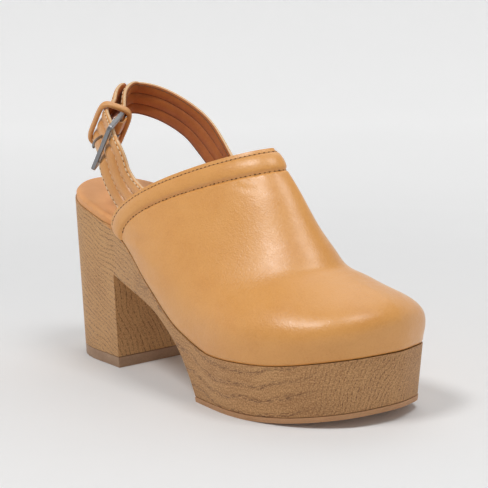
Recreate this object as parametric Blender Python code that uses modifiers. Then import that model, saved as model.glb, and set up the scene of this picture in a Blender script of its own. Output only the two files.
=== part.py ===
"""Platform clog with a block heel, a closed toe, an open back and a buckled heel strap.

A right shoe, in metres, +Z up and the toe towards +X. It is drawn on its last: x = 0 at the back of the
wood, y = 0 on the centre line and z = 0 on the floor. One empty then moves the whole shoe, so that the
origin is under the middle of the heel. The outer side of the foot is -Y and the inner side +Y.
"""
import bmesh
import bpy
import numpy as np
from mathutils import Matrix
from mathutils import Vector

# Driving sizes of the sole
PLATFORM_LENGTH = 0.243      # back of the heel to the toe tip, on the top edge of the wood
BALL_WIDTH = 0.0884          # widest part of the wood
HEEL_HEIGHT = 0.0951         # top of the wood at the back
FOREPART_HEIGHT = 0.0273     # top of the wood under the ball
TOE_SPRING = 0.0062          # how far the toe is lifted off the floor
HEEL_DEPTH = 0.0665          # back of the heel to its front face, the breast
BREAST_HEIGHT = 0.0529       # top of the breast
HEEL_LIFT = 0.0060           # rubber under the heel
OUTSOLE = 0.0028             # rubber under the forepart
OUTSOLE_LEDGE = 0.0003       # how far the outsole stands out past the wood
INSOLE = 0.0050              # padded footbed
INSOLE_INSET = 0.0008        # footbed edge inside the wood's edge, at the open heel
SEAM = 0.0003                # clearance between pieces that touch
OVERCUT = 0.0040             # how far a cutting profile runs past what it cuts
HEADING_STEP = 0.0020        # stretch of the feather line over which its heading is read
MERGE = 0.00002              # points nearer than this are one point

# Driving sizes of the upper
UPPER_WALL = 0.0018          # leather and lining
INSTEP_RISE = 0.0957         # crest of the collar above the wood at the ball
CORNER_DISTANCE = 0.0670     # back of the heel to the upper's rear corners
THROAT_DISTANCE = 0.1530     # back of the heel to the crest of the collar
CREST_SHIFT = 0.0099         # crest line towards the inner side, at the throat
TOE_CREST_SHIFT = 0.0070     # the same at the toe
TOE_BOX = 0.0355             # toe tip back to the point where the toe's lines meet
TOE_BULGE = 0.0037           # how far the toe swells out past the wood
COLLAR_BAND = 0.0125         # padded roll along the collar
COLLAR_PUFF = 0.0011         # height of that roll
COLLAR_EDGE = 0.0015         # flat edge above the roll

# Driving sizes of the heel strap, its buckle and its keeper
STRAP_WIDTH = 0.0220
STRAP_THICKNESS = 0.0024     # at the stitch rows
STRAP_RIB = 0.0005           # how far a padded rib stands out on each face
STRAP_RIBS = 3
STRAP_RISE = 0.0510          # top of the strap loop's middle line above the wood's heel
STRAP_HOLD = 0.0170          # strap hidden inside the collar
BUCKLE_RAIL = 0.0033
BUCKLE_THICKNESS = 0.0022
BUCKLE_LENGTH = 0.0240
PIVOT_BAR = 0.0024
FOLD_LEATHER = 0.0013        # thinned strap end folded round the pivot bar
PRONG_WIDTH = 0.0016
KEEPER_LENGTH = 0.0050
KEEPER_WALL = 0.0018
KEEPER_TILT = 0.30           # radians, its outer side towards the buckle

# Outline of the wood's top edge, from the back round the outer side, the toe and the inner side.
# Columns: along, a share of the length; across, a share of half the ball width.
OUTLINE = (
    (0.000, 0.025),
    (0.033, -0.407),
    (0.123, -0.708),
    (0.288, -0.771),
    (0.453, -0.910),
    (0.617, -0.984),
    (0.761, -1.023),
    (0.885, -0.814),
    (0.971, -0.398),
    (1.000, 0.129),
    (0.989, 0.490),
    (0.960, 0.772),
    (0.900, 0.895),
    (0.741, 0.973),
    (0.576, 0.860),
    (0.412, 0.701),
    (0.247, 0.681),
    (0.123, 0.692),
    (0.033, 0.455),
)
# Side profile of the wood's top. Columns: along, a share of the length; pitch, a share of the heel's
# height over the forepart; spring, a share of the toe spring.
TOP_PROFILE = (
    (0.000, 1.000, 0.0),
    (0.165, 0.864, 0.0),
    (0.329, 0.668, 0.0),
    (0.453, 0.379, 0.0),
    (0.576, 0.108, 0.0),
    (0.700, 0.000, 0.0),
    (0.823, 0.000, 0.1),
    (1.000, 0.000, 1.0),
)
# Underside of the arch, from the breast to the tread. Columns: along, a share of the length between
# the two; height, a share of the breast's height.
ARCH = (
    (0.000, 1.000),
    (0.190, 0.917),
    (0.390, 0.847),
    (0.576, 0.760),
    (0.704, 0.648),
    (0.805, 0.518),
    (0.865, 0.427),
    (0.922, 0.282),
    (0.965, 0.150),
    (1.000, 0.000),
)
TREAD_START = 0.6160         # share of the length where the forepart meets the floor
SPRING_START = 0.7660        # share of the length where the toe leaves the floor
SPRING_POWER = 1.8
# Inward lean of the wood's side, per unit of depth. Columns: along, lean.
SIDE_LEAN = (
    (0.00, 0.045),
    (0.10, 0.020),
    (0.28, 0.020),
    (0.50, 0.095),
    (1.00, 0.104),
)
# Crest of the upper. Columns: along, a share of the way from throat to toe tip; rise, a share of the
# instep's rise.
CREST = (
    (0.00, 1.000),
    (0.20, 0.811),
    (0.40, 0.612),
    (0.52, 0.500),
    (0.62, 0.432),
    (0.75, 0.392),
    (0.88, 0.370),
    (1.00, 0.352),
)
# Sections of the upper. Columns: path, a share of the feather line from rear corner to toe tip;
# fullness, below 1 for a full wall and 1 for an oval one; sweep, how sharply a section swings back;
# swell, a share of the toe's bulge.
SECTIONS = (
    (0.00, 1.07, 1.97, 0.30),
    (0.30, 0.885, 2.10, 0.70),
    (0.60, 0.89, 1.20, 0.92),
    (1.00, 0.58, 1.00, 1.00),
)
FAN_START = 0.80             # share of the feather line where the sections meet at the toe's point
FAN_POWER = 2.55
FEATHER_EDGE = 0.0012        # upright strip at the foot of the upper

# Middle line of the free part of the inner strap, from the collar to the heel. Columns: along and
# across as in the outline; up, a share of the strap's rise; forward and sideways, how far the upper
# edge leans per unit of height.
INNER_STRAP_PATH = (
    (0.302, 0.638, 0.54, 0.75, 0.05),
    (0.229, 0.636, 0.75, 0.55, -0.07),
    (0.153, 0.525, 0.92, 0.49, -0.15),
    (0.106, 0.300, 1.00, 0.62, -0.19),
    (0.122, 0.060, 0.95, 0.62, -0.18),
)
# The buckle's middle in the same columns, and the run of the strap through it.
BUCKLE_SEAT = (0.204, -0.509, 0.575, 0.66, 0.11)
BUCKLE_RUN = (-0.58, 0.757, 0.30)
# The outer strap between the collar and the buckle, in the same columns.
OUTER_STRAP_PATH = (
    (0.311, -0.600, 0.00, 0.95, 0.22),
    (0.272, -0.622, 0.20, 0.85, 0.15),
)
# Lift of the outer strap off the inner one, past the pivot bar. Columns: reach, a share of the free
# end; lift, in depths of a strap.
FREE_END = (
    (0.16, 2.80),
    (0.50, 1.90),
    (0.76, 1.40),
    (1.00, 1.20),
)
# Where the straps are fastened inside the collar. Columns: side, angle down the section, and how deep
# the stations lie, in shares of the hidden length.
OUTER_STRAP_SEAT = (-1, 67.0, (1.0,))
INNER_STRAP_SEAT = (1, 50.0, (1.0, 0.55, 0.12))
TIP_REACH = 0.0330           # free end of the outer strap, past the pivot bar
RISE_IN_BUCKLE = 0.35        # share of its lift that the outer strap has gained half-way through
PIVOT_LIFT = 0.80            # slack of the outer strap over the pivot bar, in depths of a strap

OUTLINE_STEPS = 5
PROFILE_STEPS = 44
COLLAR_RAYS = (0.0, 0.12, 0.30, 0.52, 0.74, 0.92, 1.0, 1.08)
BODY_RAYS = 20
SECTION_STEPS = 13
STRAP_STEPS = 4
RIB_STEPS = 3

MATERIALS = {
    "wood": ((0.42, 0.25, 0.13), 0.55, 0.0),
    "leather": ((0.66, 0.36, 0.14), 0.42, 0.0),
    "footbed": ((0.60, 0.31, 0.13), 0.60, 0.0),
    "rubber": ((0.30, 0.22, 0.15), 0.70, 0.0),
    "metal": ((0.25, 0.25, 0.26), 0.35, 1.0),
}


def column(table, index):
    """Return one column of a table."""
    return np.array([row[index] for row in table], float)


def monotone_curve(xs, ys, x):
    """Read a smooth curve through the points of a table, without overshoot."""
    step = np.diff(xs)
    rise = np.diff(ys) / step
    slope = np.concatenate([rise[:1], np.zeros(len(xs) - 2), rise[-1:]])
    for i in range(1, len(xs) - 1):
        if rise[i - 1] * rise[i] > 0:
            before = 2 * step[i] + step[i - 1]
            after = step[i] + 2 * step[i - 1]
            slope[i] = (before + after) / (before / rise[i - 1] + after / rise[i])
    x = np.clip(np.asarray(x, float), xs[0], xs[-1])
    k = np.clip(np.searchsorted(xs, x, side="right") - 1, 0, len(step) - 1)
    t = (x - xs[k]) / step[k]
    value = ys[k] * (1 + 2 * t) * (1 - t) ** 2 + ys[k + 1] * t * t * (3 - 2 * t)
    return value + step[k] * (slope[k] * t * (1 - t) ** 2 - slope[k + 1] * t * t * (1 - t))


def smooth_through(points, steps, closed=False):
    """Return points on a smooth curve that passes through each given point."""
    points = np.asarray(points, float)
    if closed:
        padded = np.vstack([points[-1:], points, points[:2]])
    else:
        first = 2 * points[:1] - points[1:2]
        last = 2 * points[-1:] - points[-2:-1]
        padded = np.vstack([first, points, last])
    curve = []
    for a, b, c, d in zip(padded, padded[1:], padded[2:], padded[3:]):
        for t in np.arange(steps) / steps:
            linear = (c - a) * t
            square = (2 * a - 5 * b + 4 * c - d) * t * t
            cube = (3 * b - a - 3 * c + d) * t ** 3
            curve.append(0.5 * (2 * b + linear + square + cube))
    if not closed:
        curve.append(points[-1])
    return np.array(curve)


def unit(vectors):
    """Scale a vector, or each row of an array, to length one."""
    vectors = np.asarray(vectors, float)
    return vectors / np.linalg.norm(vectors, axis=-1, keepdims=True)


def wood_outline(steps=OUTLINE_STEPS):
    """Return the outline of the wood's top edge, from the back round the outer side."""
    points = np.column_stack([column(OUTLINE, 0) * PLATFORM_LENGTH, column(OUTLINE, 1) * BALL_WIDTH / 2])
    return smooth_through(points, steps, closed=True)


def wood_top(x):
    """Return the height of the wood's top at x."""
    share = np.asarray(x, float) / PLATFORM_LENGTH
    along = column(TOP_PROFILE, 0)
    pitch = monotone_curve(along, column(TOP_PROFILE, 1), share)
    spring = monotone_curve(along, column(TOP_PROFILE, 2), share)
    return FOREPART_HEIGHT + (HEEL_HEIGHT - FOREPART_HEIGHT) * pitch + TOE_SPRING * spring


def tread_height(x):
    """Return how far the underside of the forepart is off the floor at x."""
    share = np.clip(np.asarray(x, float) / PLATFORM_LENGTH - SPRING_START, 0, None)
    return TOE_SPRING * (share / (1 - SPRING_START)) ** SPRING_POWER


def side_lean(x):
    """Return the inward lean of the wood's side at x."""
    return monotone_curve(column(SIDE_LEAN, 0), column(SIDE_LEAN, 1), np.asarray(x) / PLATFORM_LENGTH)


def inward(ring):
    """Return the unit vectors that point into a ring that runs anticlockwise."""
    along = np.roll(ring, -1, axis=0) - np.roll(ring, 1, axis=0)
    return unit(np.column_stack([-along[:, 1], along[:, 0]]))


def collection(name):
    """Make a collection in the scene."""
    made = bpy.data.collections.new(name)
    bpy.context.scene.collection.children.link(made)
    return made


def material(name):
    """Make a material from its row in the table."""
    colour, roughness, metallic = MATERIALS[name]
    made = bpy.data.materials.new(name)
    made.use_nodes = True
    shader = made.node_tree.nodes["Principled BSDF"]
    shader.inputs["Base Color"].default_value = (*colour, 1.0)
    shader.inputs["Roughness"].default_value = roughness
    shader.inputs["Metallic"].default_value = metallic
    return made


def finish_mesh(shape, name, target):
    """Turn a bmesh into an object of a collection."""
    mesh = bpy.data.meshes.new(name)
    shape.to_mesh(mesh)
    shape.free()
    made = bpy.data.objects.new(name, mesh)
    target.objects.link(made)
    return made


def loft(rings, name, target):
    """Join rings of equal length into a closed solid with flat ends."""
    shape = bmesh.new()
    layers = [[shape.verts.new(point) for point in ring] for ring in rings]
    for low, high in zip(layers, layers[1:]):
        for i, start in enumerate(low):
            j = (i + 1) % len(low)
            shape.faces.new((start, low[j], high[j], high[i]))
    shape.faces.new(list(reversed(layers[0])))
    shape.faces.new(layers[-1])
    bmesh.ops.recalc_face_normals(shape, faces=shape.faces)
    return finish_mesh(shape, name, target)


def side_prism(profile, name, target):
    """Extrude a side profile of x and z right through the shoe."""
    shape = bmesh.new()
    face = shape.faces.new([shape.verts.new((x, -BALL_WIDTH, z)) for x, z in profile])
    moved = bmesh.ops.extrude_face_region(shape, geom=[face])["geom"]
    corners = [item for item in moved if isinstance(item, bmesh.types.BMVert)]
    bmesh.ops.translate(shape, verts=corners, vec=(0.0, 2 * BALL_WIDTH, 0.0))
    bmesh.ops.recalc_face_normals(shape, faces=shape.faces)
    return finish_mesh(shape, name, target)


def block(size, middle, name, target, bevel=0.0, along=2):
    """Make a box, with the edges that run along one axis rounded where a bevel is given."""
    shape = bmesh.new()
    bmesh.ops.create_cube(shape, size=1.0)
    bmesh.ops.scale(shape, verts=shape.verts, vec=size)
    if bevel:
        spans = {edge: edge.verts[0].co - edge.verts[1].co for edge in shape.edges}
        rounded = [edge for edge, span in spans.items() if abs(span[along]) > size[along] / 2]
        bmesh.ops.bevel(shape, geom=rounded, offset=bevel, segments=3, affect="EDGES", profile=0.5)
    bmesh.ops.translate(shape, verts=shape.verts, vec=middle)
    return finish_mesh(shape, name, target)


def roller(radius, length, middle, name, target):
    """Make a cylinder along x."""
    shape = bmesh.new()
    bmesh.ops.create_cone(
        shape, cap_ends=True, segments=16, radius1=radius, radius2=radius, depth=length
    )
    turn = Matrix.Rotation(np.pi / 2, 3, "Y")
    bmesh.ops.rotate(shape, verts=shape.verts, matrix=turn)
    bmesh.ops.translate(shape, verts=shape.verts, vec=middle)
    return finish_mesh(shape, name, target)


def combine(piece, other, operation):
    """Join, cut or intersect a piece with another object."""
    step = piece.modifiers.new(other.name, "BOOLEAN")
    step.operation = operation
    step.solver = "EXACT"
    step.object = other
    other.hide_render = True
    other.display_type = "WIRE"


def dress(piece, finish):
    """Give a piece its material, and shade its round faces smooth."""
    piece.data.materials.append(finish)
    piece.data.shade_smooth()
    piece.data.set_sharp_from_angle(angle=np.radians(35))


def wall_solid(name, target, ledge=0.0):
    """Make the wood's side wall as a solid that runs past its top and its bottom."""
    over = OVERCUT / 2
    under = OVERCUT
    outline = wood_outline()
    into = inward(outline)
    top = wood_top(outline[:, 0])
    lean = side_lean(outline[:, 0])[:, None]
    upper = outline - into * (lean * over + ledge)
    lower = outline + into * (lean * (top[:, None] + under) - ledge)
    level = np.ones(len(outline))
    rings = [
        np.column_stack([lower, -under * level]),
        np.column_stack([upper, top + over]),
        np.column_stack([upper, (HEEL_HEIGHT + INSOLE) * level]),
    ]
    return loft(rings, name, target)


def make_platform(parts, cutters):
    """Make the wood: heel, arch and forepart in one piece."""
    tread = TREAD_START * PLATFORM_LENGTH
    x_top = np.linspace(-OVERCUT, PLATFORM_LENGTH + OVERCUT, PROFILE_STEPS)
    x_under = np.linspace(PLATFORM_LENGTH + OVERCUT, tread, PROFILE_STEPS // 2)
    arch_x = HEEL_DEPTH + column(ARCH, 0) * (tread - HEEL_DEPTH)
    arch_share = np.linspace(1.0, 0.0, 2 * len(ARCH))[1:]
    arch_height = OUTSOLE + column(ARCH, 1) * (BREAST_HEIGHT - OUTSOLE)
    x_arch = HEEL_DEPTH + arch_share * (tread - HEEL_DEPTH)
    profile = list(zip(x_top, wood_top(x_top)))
    profile += list(zip(x_under, OUTSOLE + tread_height(x_under)))
    profile += list(zip(x_arch, monotone_curve(arch_x, arch_height, x_arch)))
    profile += [(HEEL_DEPTH, HEEL_LIFT + SEAM), (-OVERCUT, HEEL_LIFT + SEAM)]
    piece = wall_solid("platform", parts)
    combine(piece, side_prism(profile, "platform_profile", cutters), "INTERSECT")
    return piece


def make_heel_lift(parts, cutters):
    """Make the rubber lift under the heel."""
    profile = [(-HEEL_LIFT, 0.0), (HEEL_DEPTH, 0.0), (HEEL_DEPTH, HEEL_LIFT), (-HEEL_LIFT, HEEL_LIFT)]
    piece = wall_solid("heel_lift", parts)
    combine(piece, side_prism(profile, "heel_lift_profile", cutters), "INTERSECT")
    return piece


def make_outsole(parts, cutters):
    """Make the rubber tread of the forepart, flat behind and sprung at the toe."""
    tread = TREAD_START * PLATFORM_LENGTH
    x = np.linspace(tread, PLATFORM_LENGTH + OVERCUT, PROFILE_STEPS // 2)
    bottom = list(zip(x, tread_height(x)))
    top = list(zip(x[::-1], tread_height(x[::-1]) + OUTSOLE - SEAM))
    piece = wall_solid("outsole", parts, ledge=OUTSOLE_LEDGE)
    combine(piece, side_prism(bottom + top, "outsole_profile", cutters), "INTERSECT")
    return piece


def make_insole(parts, cutters):
    """Make the padded footbed, full width at the open heel and inside the upper in front."""
    outline = wood_outline()
    into = inward(outline)
    top = wood_top(outline[:, 0])
    inside = UPPER_WALL + 3 * SEAM
    clear = np.interp(outline[:, 0], [CORNER_DISTANCE - inside * 4, CORNER_DISTANCE - inside], [0.0, 1.0])
    inset = INSOLE_INSET + clear * (inside - INSOLE_INSET)
    rings = [np.column_stack([outline + into * inset[:, None], np.full(len(outline), -INSOLE)])]
    for height, step in ((0.60, 0.0), (0.85, 0.16), (1.15, 0.70), (1.4, 1.2)):
        ring = outline + into * (inset + step * INSOLE)[:, None]
        rings.append(np.column_stack([ring, top + height * INSOLE]))
    cap = np.column_stack([rings[-1][:, :2], np.full(len(outline), HEEL_HEIGHT + 3 * INSOLE)])
    piece = loft(rings + [cap], "insole", parts)
    x = np.linspace(-OVERCUT, PLATFORM_LENGTH + OVERCUT, PROFILE_STEPS)
    profile = list(zip(x, wood_top(x) + SEAM)) + list(zip(x[::-1], wood_top(x[::-1]) + INSOLE))
    combine(piece, side_prism(profile, "insole_profile", cutters), "INTERSECT")
    return piece


def feather_line(side):
    """Return one side of the wood's top edge, from the upper's rear corner to the toe tip."""
    outline = wood_outline(40)
    tip = int(np.argmax(outline[:, 0]))
    line = outline[: tip + 1] if side < 0 else outline[tip:][::-1]
    start = int(np.where(line[:, 0] < CORNER_DISTANCE)[0].max()) + 1
    y = np.interp(CORNER_DISTANCE, line[start - 1: start + 1, 0], line[start - 1: start + 1, 1])
    return np.vstack([[CORNER_DISTANCE, y], line[start:]])


def crest_height(x):
    """Return the height of the upper's crest at x."""
    share = (np.asarray(x) - THROAT_DISTANCE) / (PLATFORM_LENGTH - THROAT_DISTANCE)
    return FOREPART_HEIGHT + INSTEP_RISE * monotone_curve(column(CREST, 0), column(CREST, 1), share)


def upper_surface(side, path, angle):
    """Return points of the upper's outer face: a row for each path share, a column for each angle."""
    path = np.asarray(path, float)
    angle = np.radians(np.asarray(angle, float))
    line = feather_line(side)
    run = np.concatenate([[0.0], np.cumsum(np.linalg.norm(np.diff(line, axis=0), axis=1))])
    foot = np.column_stack([np.interp(path * run[-1], run, line[:, i]) for i in (0, 1)])
    ahead = np.column_stack([np.interp(path * run[-1] + HEADING_STEP, run, line[:, i]) for i in (0, 1)])
    behind = np.column_stack([np.interp(path * run[-1] - HEADING_STEP, run, line[:, i]) for i in (0, 1)])
    heading = unit(ahead - behind)
    out = np.column_stack([-heading[:, 1], heading[:, 0]]) * side
    share = 1 - (1 - np.clip(path / FAN_START, 0, 1)) ** FAN_POWER
    toe_point = PLATFORM_LENGTH - TOE_BOX
    crest_x = (THROAT_DISTANCE + (toe_point - THROAT_DISTANCE) * share)[:, None]
    crest_y = (CREST_SHIFT + (TOE_CREST_SHIFT - CREST_SHIFT) * share)[:, None]
    fullness, sweep, swell = (
        monotone_curve(column(SECTIONS, 0), column(SECTIONS, i), path)[:, None] for i in (1, 2, 3)
    )
    reach = np.sin(angle)[None, :]
    drop = np.clip(np.cos(angle), 0, 1)[None, :] ** fullness
    bulge = TOE_BULGE * swell * np.sin(np.pi * np.clip((angle / (np.pi / 2) - 0.45) / 0.55, 0, 1))
    x = crest_x + (foot[:, :1] - crest_x) * reach ** sweep
    y = crest_y + (foot[:, 1:] - crest_y) * reach
    base = wood_top(foot[:, :1]) + SEAM + FEATHER_EDGE
    z = base + (crest_height(np.maximum(x, crest_x)) - base) * drop
    return np.stack([x + out[:, :1] * bulge, y + out[:, 1:] * bulge, z], axis=2)


def face_out(points, side):
    """Return the outward unit vectors of a grid of points on one side of the upper."""
    along = np.gradient(points, axis=0)
    down = np.gradient(points, axis=1)
    return unit(np.cross(down, along) * -side)


def upper_at(side, path, angle):
    """Return one point of the upper's outer face and its outward direction."""
    step = 0.004
    grid = upper_surface(side, [max(path - step, 0.0), path + step], [angle - 1.0, angle + 1.0])
    along = grid[1].mean(axis=0) - grid[0].mean(axis=0)
    down = grid[:, 1].mean(axis=0) - grid[:, 0].mean(axis=0)
    return grid.mean(axis=(0, 1)), unit(np.cross(down, along) * -side)


def feather_length():
    """Return the mean length of the two feather lines."""
    lengths = [np.linalg.norm(np.diff(feather_line(side), axis=0), axis=1).sum() for side in (-1, 1)]
    return sum(lengths) / 2


def make_upper(parts):
    """Make the hollow upper, with the collar's padded roll raised from its wall."""
    angle = 90.0 * np.linspace(0.0, 1.0, SECTION_STEPS) ** 0.9
    roll = np.array(COLLAR_RAYS) * COLLAR_BAND
    path = roll / feather_length()
    path = np.concatenate([path, np.linspace(path[-1], 1.0, BODY_RAYS + 1)[1:]])
    across_roll = np.clip((roll - COLLAR_EDGE) / (COLLAR_BAND - COLLAR_EDGE), 0, 1)
    puff = COLLAR_PUFF * np.sin(np.pi * across_roll) ** 0.7
    grids = {side: upper_surface(side, path, angle) for side in (-1, 1)}
    lifts = {side: face_out(grids[side][: len(roll)], side) for side in (-1, 1)}
    crest = unit(lifts[-1][:, 0] + lifts[1][:, 0])
    shape = bmesh.new()
    for side, points in grids.items():
        lifts[side][:, 0] = crest
        points[: len(roll)] += lifts[side] * puff[:, None, None]
        foot = points[:, -1:, :] - np.array([0.0, 0.0, FEATHER_EDGE])
        points = np.concatenate([points, foot], axis=1)
        grid = [[shape.verts.new(point) for point in row] for row in points]
        for row, after in zip(grid, grid[1:]):
            for i in range(len(row) - 1):
                corners = (row[i], row[i + 1], after[i + 1], after[i])
                shape.faces.new(corners if side < 0 else tuple(reversed(corners)))
    bmesh.ops.remove_doubles(shape, verts=shape.verts, dist=MERGE)
    piece = finish_mesh(shape, "upper", parts)
    wall = piece.modifiers.new("wall", "SOLIDIFY")
    wall.thickness = UPPER_WALL
    wall.offset = -1.0
    return piece


def station(row):
    """Return the place and the lean of one row of a strap's table."""
    along, across, up, forward, sideways = row
    place = np.array([along * PLATFORM_LENGTH, across * BALL_WIDTH / 2, HEEL_HEIGHT + up * STRAP_RISE])
    return np.concatenate([place, unit([forward, sideways, 1.0])])


def strap_depth():
    """Return the full thickness of a strap over its ribs."""
    return STRAP_THICKNESS + 2 * STRAP_RIB


def buckle_axes():
    """Return the buckle's middle and its across, along and outward directions."""
    seat = station(BUCKLE_SEAT)
    along = unit(BUCKLE_RUN)
    across = seat[3:] - along * np.dot(along, seat[3:])
    across = unit(across)
    return seat[:3], across, along, np.cross(across, along)


def in_buckle(along, out):
    """Return a strap station in the buckle's own frame."""
    middle, across, run, outward = buckle_axes()
    return np.concatenate([middle + run * along + outward * out, across])


def pivot_place():
    """Return how far the pivot bar is from the buckle's middle."""
    return BUCKLE_LENGTH / 2 - PIVOT_BAR / 2


def fold_radius():
    """Return the bore and the outer radius of the strap end that is folded round the pivot bar."""
    bore = np.hypot(PIVOT_BAR, BUCKLE_THICKNESS) / 2 + SEAM
    return bore, bore + FOLD_LEATHER


def keeper_place():
    """Return how far the keeper is from the buckle's middle, just behind the folded strap end."""
    return pivot_place() + fold_radius()[1] + SEAM + KEEPER_LENGTH / 2


def collar_seat(seat):
    """Return the stations of a strap's hidden end, against the inside of the collar."""
    side, angle, depths = seat
    wall = UPPER_WALL + strap_depth() / 2 + 3 * SEAM
    length = feather_length()
    stations = []
    for depth in depths:
        point, out = upper_at(side, depth * STRAP_HOLD / length, angle)
        across = unit(np.array([0.8, 0.0, 0.75]))
        across = unit(across - out * np.dot(out, across))
        stations.append(np.concatenate([point - out * wall, across]))
    return stations


def strap_frames(stations, steps):
    """Return the middle line, the across and the thickness directions of a strap."""
    dense = smooth_through(stations, steps)
    middle = dense[:, :3]
    run = unit(np.gradient(middle, axis=0))
    across = dense[:, 3:]
    across = unit(across - run * np.sum(run * across, axis=1, keepdims=True))
    return middle, across, np.cross(run, across)


def strap_section():
    """Return the strap's section: places across it and half thicknesses, ribbed on both faces."""
    count = STRAP_RIBS * RIB_STEPS
    place = np.linspace(-0.5, 0.5, count + 1)
    rib = np.abs(np.sin(np.pi * STRAP_RIBS * (place + 0.5)))
    return place * STRAP_WIDTH, STRAP_THICKNESS / 2 + STRAP_RIB * rib ** 0.7


def strap_solid(frames, name, target):
    """Sweep the strap's section along its frames."""
    place, half = strap_section()
    rings = []
    for middle, across, thick in zip(*frames):
        outer = [middle + across * w + thick * h for w, h in zip(place, half)]
        inner = [middle + across * w - thick * h for w, h in zip(place, half)]
        rings.append(outer + inner[::-1])
    return loft(rings, name, target)


def inner_strap_stations():
    """Return the inner strap's stations, from inside the collar round the heel to the pivot bar."""
    rows = collar_seat(INNER_STRAP_SEAT) + [station(row) for row in INNER_STRAP_PATH]
    rows.append(in_buckle(keeper_place() + KEEPER_LENGTH, strap_depth() / 4))
    return np.array(rows + [in_buckle(pivot_place() + fold_radius()[0], 0.0)])


def outer_strap_stations():
    """Return the outer strap's stations, from inside the collar through the buckle to its tip."""
    under = -(BUCKLE_THICKNESS / 2 + strap_depth() / 2 + 2 * SEAM)
    over = fold_radius()[1] + strap_depth() / 2 + SEAM
    rail_back = -BUCKLE_LENGTH / 2
    rail_front = rail_back + BUCKLE_RAIL
    rows = collar_seat(OUTER_STRAP_SEAT) + [station(row) for row in OUTER_STRAP_PATH]
    rows.append(in_buckle(rail_back - strap_depth() / 2, 2 * under))
    rows.append(in_buckle(rail_front, under))
    rows.append(in_buckle((rail_front + pivot_place()) / 2, RISE_IN_BUCKLE * over))
    rows.append(in_buckle(pivot_place(), over + PIVOT_LIFT * strap_depth()))
    middle, across, thick = strap_frames(inner_strap_stations(), 12)
    middle, across, thick = middle[::-1], across[::-1], thick[::-1]
    gone = np.concatenate([[0.0], np.cumsum(np.linalg.norm(np.diff(middle, axis=0), axis=1))])
    for share, lift in FREE_END:
        k = int(np.searchsorted(gone, share * TIP_REACH))
        rows.append(np.concatenate([middle[k] + thick[k] * lift * strap_depth(), across[k]]))
    return np.array(rows)


def make_inner_strap(parts, cutters):
    """Make the strap that runs from the inner side round the heel, folded round the pivot bar."""
    piece = strap_solid(strap_frames(inner_strap_stations(), STRAP_STEPS), "strap_inner", parts)
    bore, outer = fold_radius()
    bar = (0.0, pivot_place(), 0.0)
    fold_width = STRAP_WIDTH - 2 * FOLD_LEATHER
    fold = roller(outer, fold_width, bar, "fold", cutters)
    hole = roller(bore, 2 * STRAP_WIDTH, bar, "fold_bore", cutters)
    gap = (PRONG_WIDTH + 4 * SEAM, 2 * outer, 3 * outer)
    slot = block(gap, (0.0, pivot_place(), 0.0), "fold_slot", cutters)
    for other, operation in ((fold, "UNION"), (hole, "DIFFERENCE"), (slot, "DIFFERENCE")):
        seat_in_buckle(other)
        combine(piece, other, operation)
    return piece


def make_outer_strap(parts, cutters):
    """Make the strap that rises from the outer side, with the slot that the prong passes through."""
    piece = strap_solid(strap_frames(outer_strap_stations(), STRAP_STEPS), "strap_outer", parts)
    width = PRONG_WIDTH + 4 * SEAM
    height = PRONG_WIDTH + 3 * SEAM
    middle = (0.0, -PIVOT_BAR, BUCKLE_THICKNESS / 2 + SEAM + PRONG_WIDTH / 2)
    slot = block((width, BUCKLE_LENGTH - PIVOT_BAR, height), middle, "prong_slot", cutters)
    seat_in_buckle(slot)
    combine(piece, slot, "DIFFERENCE")
    return piece


def seat_in_buckle(piece):
    """Place a piece that is drawn in the buckle's own frame."""
    middle, across, along, outward = buckle_axes()
    turn = Matrix([across, along, outward]).transposed().to_4x4()
    piece.matrix_world = Matrix.Translation(Vector(middle)) @ turn


def make_buckle_frame(parts, cutters):
    """Make the flat frame of the buckle, with its pivot bar on the heel's side."""
    opening = STRAP_WIDTH + 4 * SEAM
    outer = (opening + 2 * BUCKLE_RAIL, BUCKLE_LENGTH, BUCKLE_THICKNESS)
    inner = (opening, BUCKLE_LENGTH - BUCKLE_RAIL - PIVOT_BAR, 3 * BUCKLE_THICKNESS)
    piece = block(outer, (0.0, 0.0, 0.0), "buckle_frame", parts, bevel=BUCKLE_RAIL * 0.8)
    hole = block(inner, (0.0, (BUCKLE_RAIL - PIVOT_BAR) / 2, 0.0), "frame_opening", cutters)
    seat_in_buckle(piece)
    seat_in_buckle(hole)
    combine(piece, hole, "DIFFERENCE")
    return piece


def make_prong(parts, cutters):
    """Make the prong: an eye round the pivot bar and a needle that rests on the outer rail."""
    bore, outer = fold_radius()
    eye = outer - SEAM
    rest = BUCKLE_THICKNESS / 2 + SEAM + PRONG_WIDTH / 2
    piece = roller(eye, PRONG_WIDTH, (0.0, pivot_place(), 0.0), "buckle_prong", parts)
    length = BUCKLE_LENGTH - 2 * PIVOT_BAR + BUCKLE_RAIL / 3
    start = pivot_place() - PIVOT_BAR / 2
    size = (PRONG_WIDTH * 0.9, length, PRONG_WIDTH)
    needle = block(size, (0.0, start - length / 2, rest), "needle", cutters)
    hole = roller(bore, 4 * PRONG_WIDTH, (0.0, pivot_place(), 0.0), "prong_bore", cutters)
    seat_in_buckle(piece)
    for other, operation in ((needle, "UNION"), (hole, "DIFFERENCE")):
        seat_in_buckle(other)
        combine(piece, other, operation)
    return piece


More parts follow.
